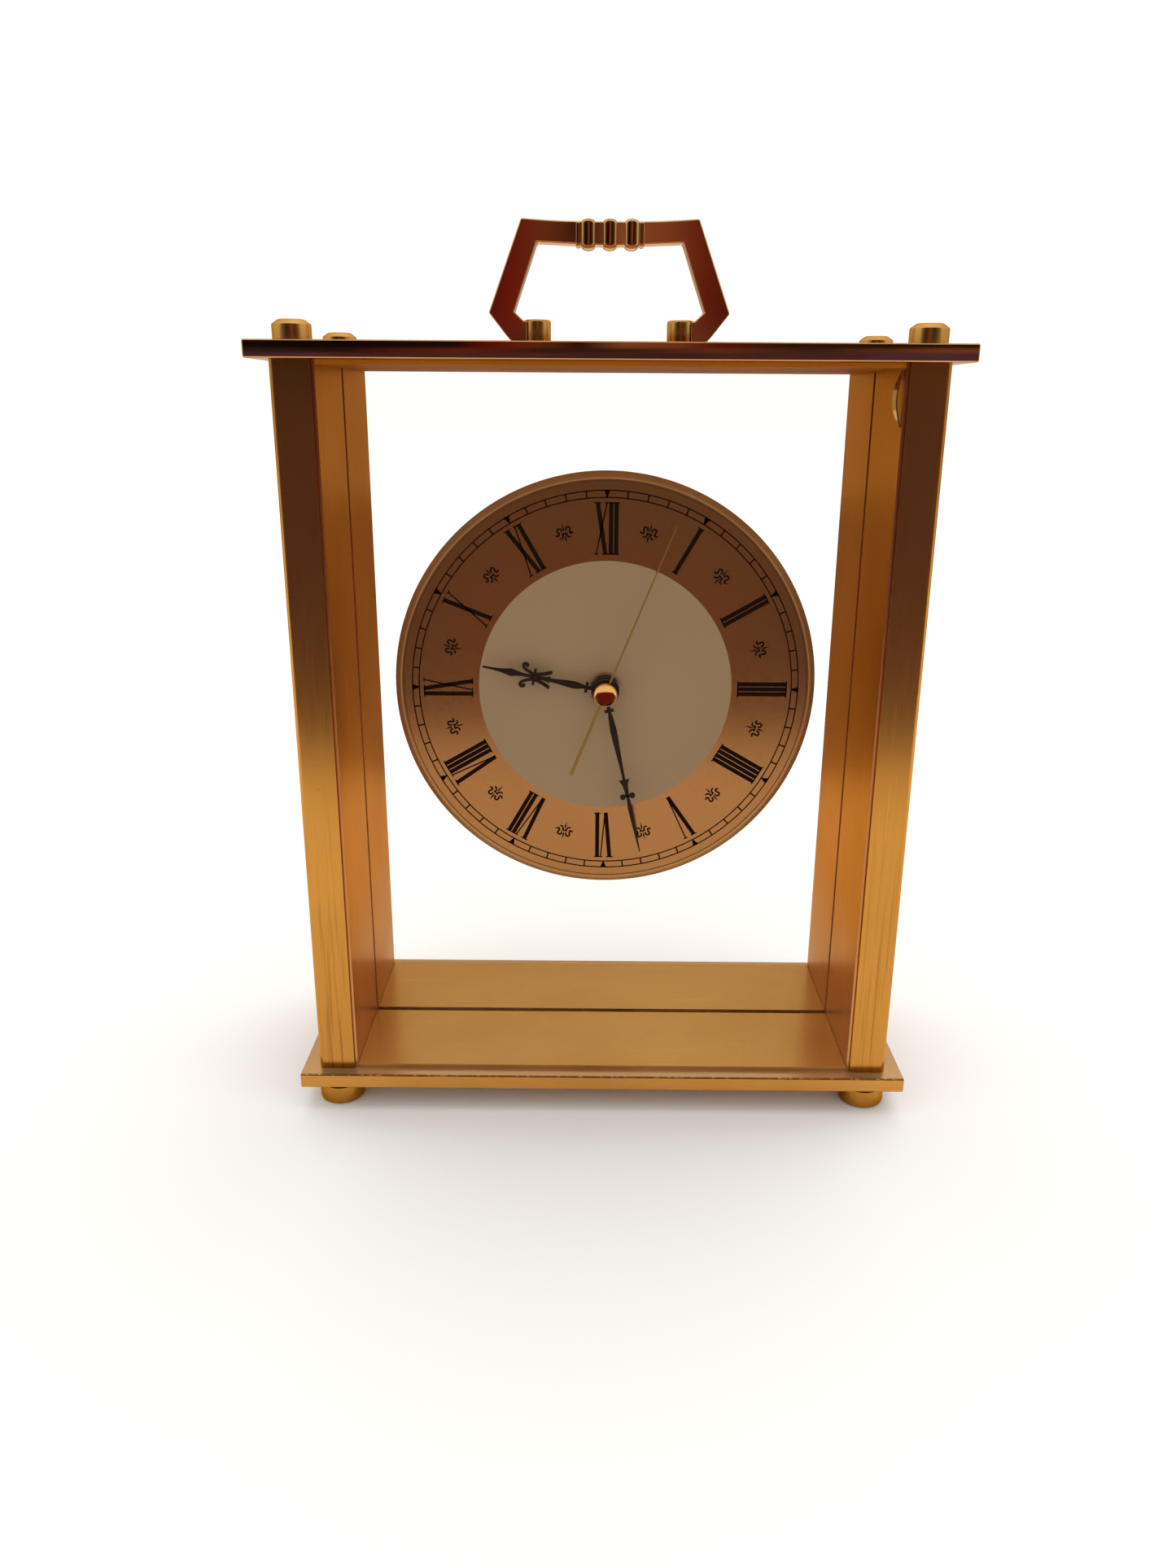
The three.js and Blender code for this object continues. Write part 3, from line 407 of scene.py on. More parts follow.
class Shape:
    """Points and faces of one piece, gathered in millimetres."""

    def __init__(self):
        self.points = []
        self.faces = []

    def add(self, points, faces):
        start = len(self.points)
        self.points += [tuple(p) for p in points]
        self.faces += [[start + i for i in face] for face in faces]

    def prism(self, outline, back, front, bevel=0.0):
        """An outline in X and Z given depth from back to front, its front edge bevelled."""
        count = len(outline)
        inner = inset(outline, bevel) if bevel else outline
        levels = [(outline, back), (outline, front + bevel)] if bevel else [(outline, back)]
        levels.append((inner, front))
        points = [(x, y, z) for shape, y in levels for x, z in shape]
        faces = [list(range(count)), list(range(len(points) - count, len(points)))]
        for level in range(len(levels) - 1):
            low = level * count
            for i in range(count):
                j = (i + 1) % count
                faces.append([low + i, low + j, low + count + j, low + count + i])
        self.add(points, faces)

    def stroke(self, path, halves, back, front, bevel=0.0):
        """A line of varying width through path, with rounded ends."""
        left, right = [], []
        for i, (x, z) in enumerate(path):
            ax, az = path[max(i - 1, 0)]
            bx, bz = path[min(i + 1, len(path) - 1)]
            length = math.hypot(bx - ax, bz - az)
            nx, nz = -(bz - az) / length, (bx - ax) / length
            left.append((x + nx * halves[i], z + nz * halves[i]))
            right.append((x - nx * halves[i], z - nz * halves[i]))
        self.prism(left + cap(left[-1], right[-1]) + right[::-1] + cap(right[0], left[0]),
                   back, front, bevel)

    def disc(self, x, z, radius, back, front, bevel=0.0, sides=20):
        self.prism([(x + radius * math.cos(2 * math.pi * i / sides),
                     z + radius * math.sin(2 * math.pi * i / sides)) for i in range(sides)],
                   back, front, bevel)

    def ring(self, inner, outer, back, front, sides=180):
        """A flat ring about the Y axis."""
        points, faces = [], []
        for i in range(sides):
            angle = 2 * math.pi * i / sides
            for radius, y in ((inner, back), (inner, front), (outer, front), (outer, back)):
                points.append((radius * math.cos(angle), y, radius * math.sin(angle)))
        for i in range(sides):
            for k in range(4):
                a, b = 4 * i + k, 4 * i + (k + 1) % 4
                c, d = 4 * ((i + 1) % sides) + (k + 1) % 4, 4 * ((i + 1) % sides) + k
                faces.append([a, b, c, d])
        self.add(points, faces)

    def turned(self, profile, axis="z", sides=64, centre=(0, 0, 0)):
        """A solid of revolution from (radius, distance along the axis) pairs."""
        rows = []
        points = []
        for radius, along in profile:
            if radius < 1e-6:
                rows.append([len(points)] * sides)
                points.append((0, 0, along))
                continue
            rows.append(list(range(len(points), len(points) + sides)))
            for i in range(sides):
                angle = 2 * math.pi * i / sides
                points.append((radius * math.cos(angle), radius * math.sin(angle), along))
        turn = {"z": lambda p: p, "y": lambda p: (p[0], p[2], p[1]),
                "x": lambda p: (p[2], p[0], p[1])}[axis]
        points = [tuple(a + b for a, b in zip(turn(p), centre)) for p in points]
        faces = []
        for low, high in zip(rows, rows[1:]):
            for i in range(sides):
                j = (i + 1) % sides
                corners = []
                for k in (low[i], low[j], high[j], high[i]):
                    if k not in corners:
                        corners.append(k)
                if len(corners) > 2:
                    faces.append(corners)
        self.add(points, faces)

    def wrap(self, x, half, bulge, section, height, steps=14, sides=8):
        """A rounded rib round a bar along X whose section has the given half sizes."""
        half_z, half_y = section
        sunk = 0.15            # how far its ends lie inside the bar
        points, faces = [], []
        for i in range(steps + 1):
            t = math.cos(math.pi * i / steps)
            swell = bulge * math.sqrt(max(1 - t * t, 0)) - sunk
            corner = 0.5 + 0.5 * bulge
            for quarter, (sz, sy) in enumerate(((1, 1), (1, -1), (-1, -1), (-1, 1))):
                for k in range(sides + 1):
                    angle = 0.5 * math.pi * (k / sides + quarter)
                    points.append((
                        x - t * half,
                        sy * (half_y + swell - corner) + corner * math.cos(angle),
                        height + sz * (half_z + swell - corner) + corner * math.sin(angle),
                    ))
        around = 4 * (sides + 1)
        for i in range(steps):
            for k in range(around):
                a, b = i * around + k, i * around + (k + 1) % around
                faces.append([a, b, b + around, a + around])
        faces += [list(range(around)), list(range(steps * around, (steps + 1) * around))]
        self.add(points, faces)

    def moved(self, dx=0.0, dy=0.0, dz=0.0):
        self.points = [(x + dx, y + dy, z + dz) for x, y, z in self.points]
        return self

    def rotated(self, degrees):
        """Turned clockwise about the Y axis, as seen from the front."""
        c, s = math.cos(math.radians(degrees)), math.sin(math.radians(degrees))
        self.points = [(x * c + z * s, y, z * c - x * s) for x, y, z in self.points]
        return self

    def build(self, name, material, body="case", stands_for=(), slot=None, sharp=35.0,
              bevel=0.0, segments=2):
        """The finished piece on its body, standing for the CAD nodes named."""
        mesh = bpy.data.meshes.new(name)
        mesh.from_pydata([[c * MM for c in p] for p in self.points], [], self.faces)
        work = bmesh.new()
        work.from_mesh(mesh)
        bmesh.ops.recalc_face_normals(work, faces=work.faces)
        work.to_mesh(mesh)
        work.free()
        mesh.materials.append(material)
        finish_mesh(mesh, sharp)
        obj = bpy.data.objects.new(name, mesh)
        bpy.context.scene.collection.objects.link(obj)
        if bevel:
            add_bevel(obj, bevel, segments, harden=True)
        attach(obj, body)
        if stands_for:
            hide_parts(*stands_for)
        return obj


def finish_mesh(mesh, sharp):
    for face in mesh.polygons:
        face.use_smooth = True
    mesh.set_sharp_from_angle(angle=math.radians(sharp))


def add_bevel(obj, width, segments, harden):
    """Round the edges by width, in millimetres."""
    bevel = obj.modifiers.new("edge", "BEVEL")
    bevel.width = width * MM
    bevel.segments = segments
    bevel.limit_method = "ANGLE"
    bevel.angle_limit = math.radians(30)
    bevel.harden_normals = harden


def add_worn_edges(node, width, segments):
    """Join a CAD node's faces, round its edges and shade it by its large faces."""
    weld = node.modifiers.new("join", "WELD")
    weld.merge_threshold = 0.001 * MM
    add_bevel(node, width, segments, harden=False)
    shading = node.modifiers.new("shading", "WEIGHTED_NORMAL")
    shading.weight = 50


def inset(outline, amount):
    """The outline moved inwards by amount, keeping its corner count."""
    area = sum(a[0] * b[1] - b[0] * a[1] for a, b in zip(outline, outline[1:] + outline[:1]))
    side = 1 if area > 0 else -1
    count = len(outline)
    moved = []
    for i, (x, z) in enumerate(outline):
        normals = []
        for a, b in ((outline[i - 1], outline[i]), (outline[i], outline[(i + 1) % count])):
            dx, dz = b[0] - a[0], b[1] - a[1]
            length = math.hypot(dx, dz) or 1.0
            normals.append((-dz / length * side, dx / length * side))
        nx, nz = normals[0][0] + normals[1][0], normals[0][1] + normals[1][1]
        scale = 2 / max(nx * nx + nz * nz, 0.8)  # held back at sharp corners
        moved.append((x + nx * scale * amount, z + nz * scale * amount))
    return moved


def cap(start, end, steps=5):
    """The points between start and end on the half circle beyond them."""
    cx, cz = (start[0] + end[0]) / 2, (start[1] + end[1]) / 2
    dx, dz = start[0] - cx, start[1] - cz
    points = []
    for i in range(1, steps):
        angle = -math.pi * i / steps
        c, s = math.cos(angle), math.sin(angle)
        points.append((cx + dx * c - dz * s, cz + dx * s + dz * c))
    return points


def smooth_path(points, steps=5):
    """Points on a smooth curve through the given points."""
    out = []
    for i in range(len(points) - 1):
        p0, p1 = points[max(i - 1, 0)], points[i]
        p2, p3 = points[i + 1], points[min(i + 2, len(points) - 1)]
        for k in range(steps):
            t = k / steps
            out.append(tuple(
                0.5 * (2 * b + (c - a) * t + (2 * a - 5 * b + 4 * c - d) * t * t
                       + (3 * b - a - 3 * c + d) * t ** 3)
                for a, b, c, d in zip(p0, p1, p2, p3)))
    out.append(tuple(points[-1]))
    return out


def on_dial(shape):
    return shape.moved(dz=DIAL_Z)


# ---- looks of the CAD nodes

def dress(name, material, edge=0.0, segments=2):
    """A CAD node shown as it is, with its finish and worn edges."""
    node = nodes[name]
    node.data.materials.clear()
    node.data.materials.append(material)
    if edge:
        for face in node.data.polygons:
            face.use_smooth = True
        add_worn_edges(node, edge, segments)


CORNERS = [(end, side) for end in ("front", "rear") for side in ("left", "right")]
dress("base_plate", base_brass, 0.35)
dress("top_plate", plate_brass, 0.4)
for end, side in CORNERS:
    dress(f"post_{end}_{side}", post_brass, 0.25)
    dress(f"tie_rod_{end}_{side}", steel)
for side in ("left", "right"):
    dress(f"side_panel_{side}", side_brass, 0.12)
    dress(f"handle_screw_{side}", steel)
for end in ("front", "rear"):
    dress(f"floor_panel_{end}", deck_brass, 0.15)
    dress(f"ceiling_panel_{end}", ceiling_brass, 0.15)
dress("glass_pane", pane_glass)
for name, material, slot in [
    ("hour_wheel", white_plastic, "white_plastic"),
    ("minute_wheel", white_plastic, "white_plastic"),
    ("centre_wheel", gold, "gold_brass"),
    ("third_wheel", white_plastic, "white_plastic"),
    ("seconds_wheel", white_plastic, "white_plastic"),
    ("fifth_wheel", white_plastic, "white_plastic"),
    ("rotor", magnet_black, "black_plastic"),
    ("movement_front_case", black_plastic, "black_plastic"),
    ("movement_mid_plate", white_plastic, "white_plastic"),
    ("movement_rear_plate", black_plastic, "black_plastic"),
    ("pillar_1", steel, "steel"), ("pillar_2", steel, "steel"), ("pillar_3", steel, "steel"),
    ("battery", battery_wrap, "battery_can"),
    ("battery_contact_positive", steel, "steel"),
    ("battery_contact_negative", steel, "steel"),
    ("stator", steel, "steel"), ("coil_core", steel, "steel"), ("coil", copper, "copper_wire"),
    ("circuit_board", board_green, "circuit_green"),
    ("quartz_crystal", steel, "battery_can"),
    ("setting_knob", black_plastic, "black_plastic"),
]:
    dress(name, material)
dress("movement_drum", drum_brass, 0.5, 3)
dress("battery_door", door_brass, 0.2)


# ---- knobs and feet

def make_knob(end, side, x, y):
    """A cap knob with a chamfered top."""
    knob = Shape()
    knob.turned([
        (0, 0.1), (4.2, 0), (4.5, 0.25), (4.5, 3.4), (4.42, 3.6), (3.3, 4.4), (3.05, 4.54),
        (2.8, 4.6), (0, 4.6),
    ], centre=(x, y, PLATE_TOP))
    knob.build(f"knob_{end}_{side}", knob_gold, stands_for=[f"cap_knob_{end}_{side}"],
               slot="gold_brass")


def make_foot(end, side, x, y):
    """A foot with a rounded sole and a groove under its collar."""
    foot = Shape()
    foot.turned([
        (0, 0), (5.2, 0), (5.65, 0.1), (5.98, 0.4), (6.1, 0.85), (6.1, 5.0), (6.02, 5.2),
        (5.4, 5.3), (5.4, 5.75), (6.0, 5.85), (6.08, 6.1), (6.08, 7.0), (0, 7.0),
    ], centre=(x, y, 0))
    foot.build(f"foot_{end}_{side}_turned", foot_gold, stands_for=[f"foot_{end}_{side}"],
               slot="gold_brass")


for end, side in CORNERS:
    low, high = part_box(f"cap_knob_{end}_{side}")
    x, y = (low.x + high.x) / 2 / MM, (low.y + high.y) / 2 / MM
    make_knob(end, side, x, y)
    make_foot(end, side, x, y)


# ---- handle

HANDLE_RIGHT = [
    (0, 28.6), (6, 28.62), (12, 28.75), (17, 29.0), (21.6, 29.3), (29.8, 8.0), (25.6, 2.8),
    (24.6, 1.7), (23.2, 1.0), (20.3, 1.0), (20.3, 6.2), (21.2, 6.2), (23.5, 8.3),
    (17.8, 24.0), (12, 23.75), (6, 23.45), (0, 23.3),
]
BAR_Z = 25.9               # middle of the handle's bar above the top plate
BAR_HALF = (2.65, 2.9)     # half its height and half its depth
BEAD_STEP = 5.3
END_RING_X = 7.75          # thin rings beside the outer beads
HANDLE_FOOT_X = 17.9


def make_handle():
    """The arch, the beads and rings on its bar, and its two round feet."""
    left = [(-x, z) for x, z in HANDLE_RIGHT[1:-1]][::-1]
    arch = Shape()
    arch.prism(HANDLE_RIGHT + left, BAR_HALF[1], -BAR_HALF[1])
    arch.moved(dz=PLATE_TOP)
    arch.build("handle_arch", handle_brass, stands_for=["handle"], slot="polished_brass",
               bevel=0.85, segments=4)
    beads = Shape()
    for x in (-BEAD_STEP, 0, BEAD_STEP):
        beads.wrap(x, half=1.75, bulge=0.85, section=BAR_HALF, height=BAR_Z + PLATE_TOP)
    for x in (-END_RING_X, END_RING_X):
        beads.wrap(x, half=0.6, bulge=0.28, section=BAR_HALF, height=BAR_Z + PLATE_TOP)
    beads.build("handle_beads", handle_brass, slot="polished_brass", sharp=50.0)
    feet = Shape()
    for x in (-HANDLE_FOOT_X, HANDLE_FOOT_X):
        feet.turned([
            (0, 0), (3.3, 0), (3.4, 0.15), (3.4, 5.9), (3.32, 6.2), (3.15, 6.4), (2.8, 6.5),
            (0, 6.5),
        ], "z", 48, (x, 0, PLATE_TOP))
    feet.build("handle_feet", knob_gold, slot="polished_brass")


make_handle()


# ---- dial

def make_dial():
    """The satin band, the cream disc in its middle and the bezel round it."""
    band = Shape()
    band.ring(DISC_R, DIAL_R + 0.02, DIAL_BACK, DIAL_Y)
    on_dial(band).build("dial_band", dial_gold, stands_for=["dial_plate"], slot="dial_gold")
    disc = Shape()
    disc_front = DIAL_Y - 0.01
    disc.turned([
        (DIAL_HOLE_R, DIAL_BACK), (DISC_R, DIAL_BACK), (DISC_R, disc_front),
        (DIAL_HOLE_R, disc_front), (DIAL_HOLE_R, DIAL_BACK),
    ], "y", 180)
    on_dial(disc).build("dial_disc", cream, slot="dial_gold")
    bezel = Shape()
    bezel.turned([
        (DIAL_R, DIAL_BACK), (BEZEL_R, DIAL_BACK), (BEZEL_R, -2.2), (56.9, -2.45),
        (55.45, -3.9), (DIAL_R, -3.97), (DIAL_R, DIAL_BACK),
    ], "y", 180)
    on_dial(bezel).build("bezel_turned", bezel_gold, stands_for=["bezel_ring"],
                         slot="gold_brass", sharp=25.0)


def bar(shape, start, end, width):
    """A printed straight line with square ends across the radial direction."""
    (ax, az), (bx, bz) = start, end
    half = width / 2
    if abs(az - bz) > abs(ax - bx):
        outline = [(ax - half, az), (ax + half, az), (bx + half, bz), (bx - half, bz)]
    else:
        outline = [(ax, az - half), (bx, bz - half), (bx, bz + half), (ax, az + half)]
    shape.prism(outline, *PRINT)


THICK = 1.12               # widths of the two kinds of stroke
THIN = 0.36
GAP = 0.25                 # between letters
SERIF = 0.3                # height of a serif
OVERHANG = 0.35            # of a serif beyond its stroke
TOP_OVERHANG = 0.4         # the same above a V or an X
GLYPH_WIDTH = {"I": THICK, "V": 3.3, "X": 3.3}


def numeral(text, hour):
    """One Roman numeral, its top towards the rim."""
    shape = Shape()
    foot, top = NUMERAL
    width = sum(GLYPH_WIDTH[c] for c in text) + GAP * (len(text) - 1)
    x = -width / 2
    serifs = {foot: [], top: []}
    for c in text:
        w = GLYPH_WIDTH[c]
        if c == "I":
            bar(shape, (x + w / 2, foot), (x + w / 2, top), THICK)
            serifs[foot].append((x - OVERHANG, x + w + OVERHANG))
            serifs[top].append((x - OVERHANG, x + w + OVERHANG))
        elif c == "V":
            bar(shape, (x + 1.75, foot), (x + 0.58, top), THICK)
            bar(shape, (x + 1.95, foot), (x + w - 0.15, top), THIN)
            serifs[top] += [(x - TOP_OVERHANG, x + 1.55), (x + w - 0.75, x + w + TOP_OVERHANG)]
        else:
            bar(shape, (x + w - 0.6, foot), (x + 0.6, top), THICK)
            bar(shape, (x + 0.25, foot), (x + w - 0.25, top), THIN)
            serifs[foot] += [(x - OVERHANG, x + 0.85), (x + 1.75, x + w + OVERHANG)]
            serifs[top] += [(x - TOP_OVERHANG, x + 1.55), (x + w - 0.85, x + w + TOP_OVERHANG)]
        x += w + GAP
    for level, spans in serifs.items():
        inside = level + (SERIF / 2 if level == foot else -SERIF / 2)
        for start, end in spans:
            bar(shape, (start, inside), (end, inside), SERIF)
    return shape.rotated(30 * hour)


def print_on_dial(name, shapes, material):
    """Join the shapes into one printed piece."""
    whole = Shape()
    for shape in shapes:
        whole.add(shape.points, shape.faces)
    on_dial(whole).build(name, material, slot="hand_black")


SCROLL = [(0.57, 0.75), (0.75, 1.3), (1.2, 1.5), (1.62, 1.3), (1.68, 0.85), (1.45, 0.2),
          (1.62, -0.28), (2.22, -0.14)]
LEAF = [(0.4, -0.2), (0.6, -0.75), (0.88, -1.08), (1.35, -1.1)]
PETAL = [(0, 0.35), (0.24, 1.25), (0.14, 1.8), (0, 2.8), (-0.14, 1.8), (-0.24, 1.25)]


def ornament(angle):
    """A small printed fleuron between two numerals."""
    shape = Shape()
    for end in (-1, 1):
        shape.prism([(x, end * z) for x, z in PETAL], *PRINT)
    shape.stroke([(-0.55, 0), (0, 0), (0.55, 0)], [0.24, 0.16, 0.24], *PRINT)
    for side in (-1, 1):
        for line, half in ((SCROLL, 0.23), (LEAF, 0.21)):
            path = smooth_path([(side * x, z) for x, z in line], 3)
            shape.stroke(path, [half] * len(path), *PRINT)
    return shape.moved(dz=ORNAMENT_R).rotated(angle)


def minute_track():
    """Two circles, a mark between them at each minute and a wedge at each fifth."""
    shape = Shape()
    low, high = TRACK
    for radius in TRACK:
        shape.ring(radius - 0.16, radius + 0.16, *PRINT, 240)
    for minute in range(60):
        mark = Shape()
        bar(mark, (0, low), (0, high), 0.4)
        if minute % 5 == 0:
            mark.prism([(-0.9, high + 0.1), (0.9, high + 0.1), (0.1, low), (-0.1, low)],
                       *PRINT)
        mark.rotated(6 * minute)
        shape.add(mark.points, mark.faces)
    return shape


def rim_line():
    shape = Shape()
    shape.ring(RIM_LINE_R - 0.1, RIM_LINE_R + 0.1, *PRINT, 240)
    return shape


def make_nut():
    nut = Shape()
    nut.turned([(3.6, -4.0), (4.4, -4.0), (4.4, -5.05), (4.2, -5.3), (3.6, -5.3), (3.6, -4.0)],
               "y", 64)
    on_dial(nut).build("nut_turned", nut_steel, stands_for=["dial_nut"], slot="steel")


make_dial()
NUMERALS = ["XII", "I", "II", "III", "IIII", "V", "VI", "VII", "VIII", "IX", "X", "XI"]
print_on_dial("dial_numerals", [numeral(text, i) for i, text in enumerate(NUMERALS)], ink)
print_on_dial("dial_ornaments", [ornament(30 * i + 15) for i in range(12)], ink)
print_on_dial("dial_minute_track", [minute_track()], ink)
print_on_dial("dial_rim_line", [rim_line()], pale_ink)
make_nut()


# ---- hands

def mirrored(profile):
    """An outline from (distance from the axis, half width) pairs."""
    return ([(half, along) for along, half in profile]
            + [(-half, along) for along, half in reversed(profile)])


def hub(shape, radius, back, front, bore):
    """A hub with two shallow steps on its front."""
    shape.turned([
        (bore, back), (radius, back), (radius, front + 0.35), (radius - 0.2, front + 0.15),
        (radius - 0.75, front + 0.1), (radius - 0.95, front - 0.05), (radius - 1.2, front),
        (bore, front), (bore, back),
    ], "y", 64)


def make_hour_hand():
    """A spear with two prongs and two curls at its cross, and its hub."""
    shape = Shape()
    back, front, bevel = -7.0, -7.6, 0.07
    shape.prism(mirrored([
        (2.5, 0.5), (5.6, 0.45), (6.4, 0.6), (7.4, 0.85), (8.6, 0.98), (10.2, 0.9),
        (12.0, 0.7), (13.6, 0.55), (15.2, 0.5), (17.5, 0.42), (20.2, 0.4), (22.6, 0.4),
        (24.1, 0.66), (25.7, 1.04), (26.7, 0.82), (28.3, 0.5), (30.6, 0.3), (33.2, 0.22),
        (33.6, 0.08),
    ]), back, front, bevel)
    over = front - CROSSING
    shape.prism([(-1.45, 4.75), (1.45, 4.75), (1.45, 5.5), (-1.45, 5.5)], back, over, bevel)
    shape.prism(mirrored([(15.2, 0.92), (15.9, 0.62), (17.2, 0.5), (19.4, 0.5)]),
                back, over, bevel)
    shape.stroke([(-2.0, 19.4), (0, 19.4), (2.0, 19.4)], [0.34, 0.42, 0.34],
                 back, over - CROSSING, bevel)
    for side in (-1, 1):
        prong = smooth_path([(0.75, 19.4), (0.95, 18.3), (1.2, 17.2), (1.55, 16.2), (2.0, 15.3)])
        shape.stroke([(side * x, z) for x, z in prong],
                     [0.38 + 0.10 * i / (len(prong) - 1) for i in range(len(prong))],
                     back, front + CROSSING, bevel)
        curl = smooth_path([(0.6, 19.4), (1.0, 20.6), (1.5, 21.8), (2.15, 22.65), (2.85, 22.75),
                            (3.15, 22.15), (2.85, 21.6)])
        shape.stroke([(side * x, z) for x, z in curl], [0.38] * len(curl),
                     back, front + 2 * CROSSING, bevel)
        shape.disc(side * 2.8, 21.8, 0.52, back, front + CROSSING, bevel)
    boss = Shape()
    hub(boss, radius=3.8, back=-6.4, front=-8.0, bore=2.3)
    on_dial(boss).build("hour_hub_turned", gloss_black, "hour_hand_body", slot="hand_black")
    on_dial(shape.rotated(HOUR_ANGLE)).build(
        "hour_hand_cut", lacquer, "hour_hand_body", ["hour_hand"], "hand_black", sharp=25.0)


def make_minute_hand():
    """A long spear with a flared cross and three small leaves, and its hub."""
    shape = Shape()
    back, front, bevel = -9.0, -9.5, 0.06
    shape.prism(mirrored([
        (2.5, 0.5), (5.6, 0.45), (7.5, 0.68), (10.7, 0.92), (14.0, 0.8), (18.0, 0.6),
        (22.0, 0.43), (24.6, 0.38), (29.8, 0.4), (31.2, 0.45), (33.0, 0.62), (36.0, 0.58),
        (39.0, 0.45), (43.0, 0.28), (46.2, 0.16), (46.5, 0.06),
    ]), back, front, bevel)
    over = front - CROSSING
    shape.prism([(-1.25, 4.7), (1.25, 4.7), (1.25, 5.5), (-1.25, 5.5)], back, over, bevel)
    shape.prism(mirrored([(25.0, 1.42), (25.7, 1.05), (26.6, 0.75), (27.8, 0.6), (29.2, 0.52),
                          (30.2, 0.5)]), back, over, bevel)
    for side in (-1, 1):
        shape.stroke([(0, 29.7), (side * 0.7, 29.6), (side * 1.3, 29.75)], [0.38, 0.34, 0.38],
                     back, over - CROSSING, bevel)
        shape.disc(side * 1.32, 29.8, 0.78, back, over - 2 * CROSSING, bevel, 24)
    boss = Shape()
    hub(boss, radius=3.6, back=-8.5, front=-9.9, bore=1.5)
    on_dial(boss).build("minute_hub_turned", gloss_black, "minute_hand_body", slot="hand_black")
    on_dial(shape.rotated(MINUTE_ANGLE)).build(
        "minute_hand_cut", lacquer, "minute_hand_body", ["minute_hand"], "hand_black",
        sharp=25.0)


def make_second_hand():
    """A needle with a broader tail, its collar, and the dished cap over the hubs."""
    shape = Shape()
    back, front, bevel = -10.6, -10.9, 0.1
    shape.prism(mirrored([(-24.4, 0.3), (-23.9, 0.42), (-8.0, 0.38), (0, 0.28), (20.0, 0.21),
                          (47.0, 0.14)]), back, front, bevel)
    shape.turned([(0.8, -10.4), (1.6, -10.4), (1.6, -10.9), (1.5, -11.0), (0.8, -11.0),
                  (0.8, -10.4)], "y", 32)
    on_dial(shape.rotated(SECOND_ANGLE)).build(
        "second_hand_cut", hand_gold, "second_hand_body", ["second_hand"], "gold_brass",
        sharp=25.0)
    dish = Shape()
    dish.turned([
        (0, -11.0), (3.1, -11.0), (3.2, -11.15), (3.2, -12.15), (3.12, -12.35), (2.98, -12.42),
        (2.84, -12.36), (2.74, -12.26), (2.2, -12.19), (1.4, -12.12), (0.7, -12.09),
        (0, -12.08),
    ], "y", 96)
    on_dial(dish).build("cap_turned", cap_gold, "second_hand_body", ["hand_cap"],
                        "gold_brass", sharp=60.0)


make_hour_hand()
make_minute_hand()
make_second_hand()


# ---- leaf spring

def make_leaf_spring():
    """A thin bowed strip whose rear edge draws in to a point at the lower end."""
    low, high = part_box("leaf_spring_right")
    x1 = high.x / MM
    front, depth = low.y / MM, (high.y - low.y) / MM
    middle, half = (low.z + high.z) / 2 / MM, (high.z - low.z) / 2 / MM
    thick = 0.35
    tip = 0.12                 # share of the depth left at the lower end
    bow = (high.x - low.x) / MM - thick
    shape = Shape()
    steps = 32
    points, faces = [], []
    for i in range(steps + 1):
        t = 2 * i / steps - 1
        x = x1 - bow * math.cos(t * math.pi / 2)
        z = middle + t * half
        if t > 0:
            fullness = math.sin(math.pi * (tip + (1 - 2 * tip) * (t + 1) / 2))
        else:
            fullness = math.cos(t * math.pi / 2)
        wide = depth * (tip + (1 - tip) * fullness ** 0.8)
        for dx, dy in ((0, 0), (0, wide), (-thick, wide), (-thick, 0)):
            points.append((x + dx, front + dy, z))
    for i in range(steps):
        for k in range(4):
            a, b = 4 * i + k, 4 * i + (k + 1) % 4
            faces.append([a, b, b + 4, a + 4])
    faces += [[0, 1, 2, 3], [4 * steps + k for k in range(4)]]
    shape.add(points, faces)
    shape.build("leaf_spring_bowed", spring_gold, stands_for=["leaf_spring_right"],
                slot="gold_brass")


make_leaf_spring()


# ---- floor and light

def stage_mesh(name, points, faces, material):
    """A surface of the stage, in metres, which isn't part of the clock."""
    mesh = bpy.data.meshes.new(name)
    mesh.from_pydata(points, [], faces)
    mesh.materials.append(material)
    for face in mesh.polygons:
        face.use_smooth = True
    obj = bpy.data.objects.new(name, mesh)
    bpy.context.scene.collection.objects.link(obj)
    return obj


def make_floor():
    white = new_material("floor_white", (0.86, 0.855, 0.84), 0.8)
    stage_mesh("floor", [(-6, -6, 0), (6, -6, 0), (6, 6, 0), (-6, 6, 0)], [[0, 1, 2, 3]], white)


def emitter(name, colour):
    """A glowing stage surface whose colour comes from the function given."""
    material = bpy.data.materials.new(name)
    material.use_nodes = True
    tree = material.node_tree
    tree.nodes.remove(tree.nodes["Principled BSDF"])
    glow = add_node(material, "ShaderNodeEmission", Color=colour(material))
    tree.links.new(glow.outputs[0], tree.nodes["Material Output"].inputs["Surface"])
    return material


def hide_from_all_but_gloss(obj):
    obj.visible_camera = False
    obj.visible_shadow = False
    obj.visible_diffuse = False


def away_from_middle(material, start, end):
    """0 to 1 as the distance from the middle plane goes from start to end, in metres."""
    place = add_node(material, "ShaderNodeTexCoord")
    split = add_node(material, "ShaderNodeSeparateXYZ", Vector=place.outputs["Object"])
    distance = add_node(material, "ShaderNodeMath", {"operation": "ABSOLUTE"})
    material.node_tree.links.new(split.outputs[0], distance.inputs[0])
    return remap(material, distance.outputs[0], 0.0, 1.0, start, end)


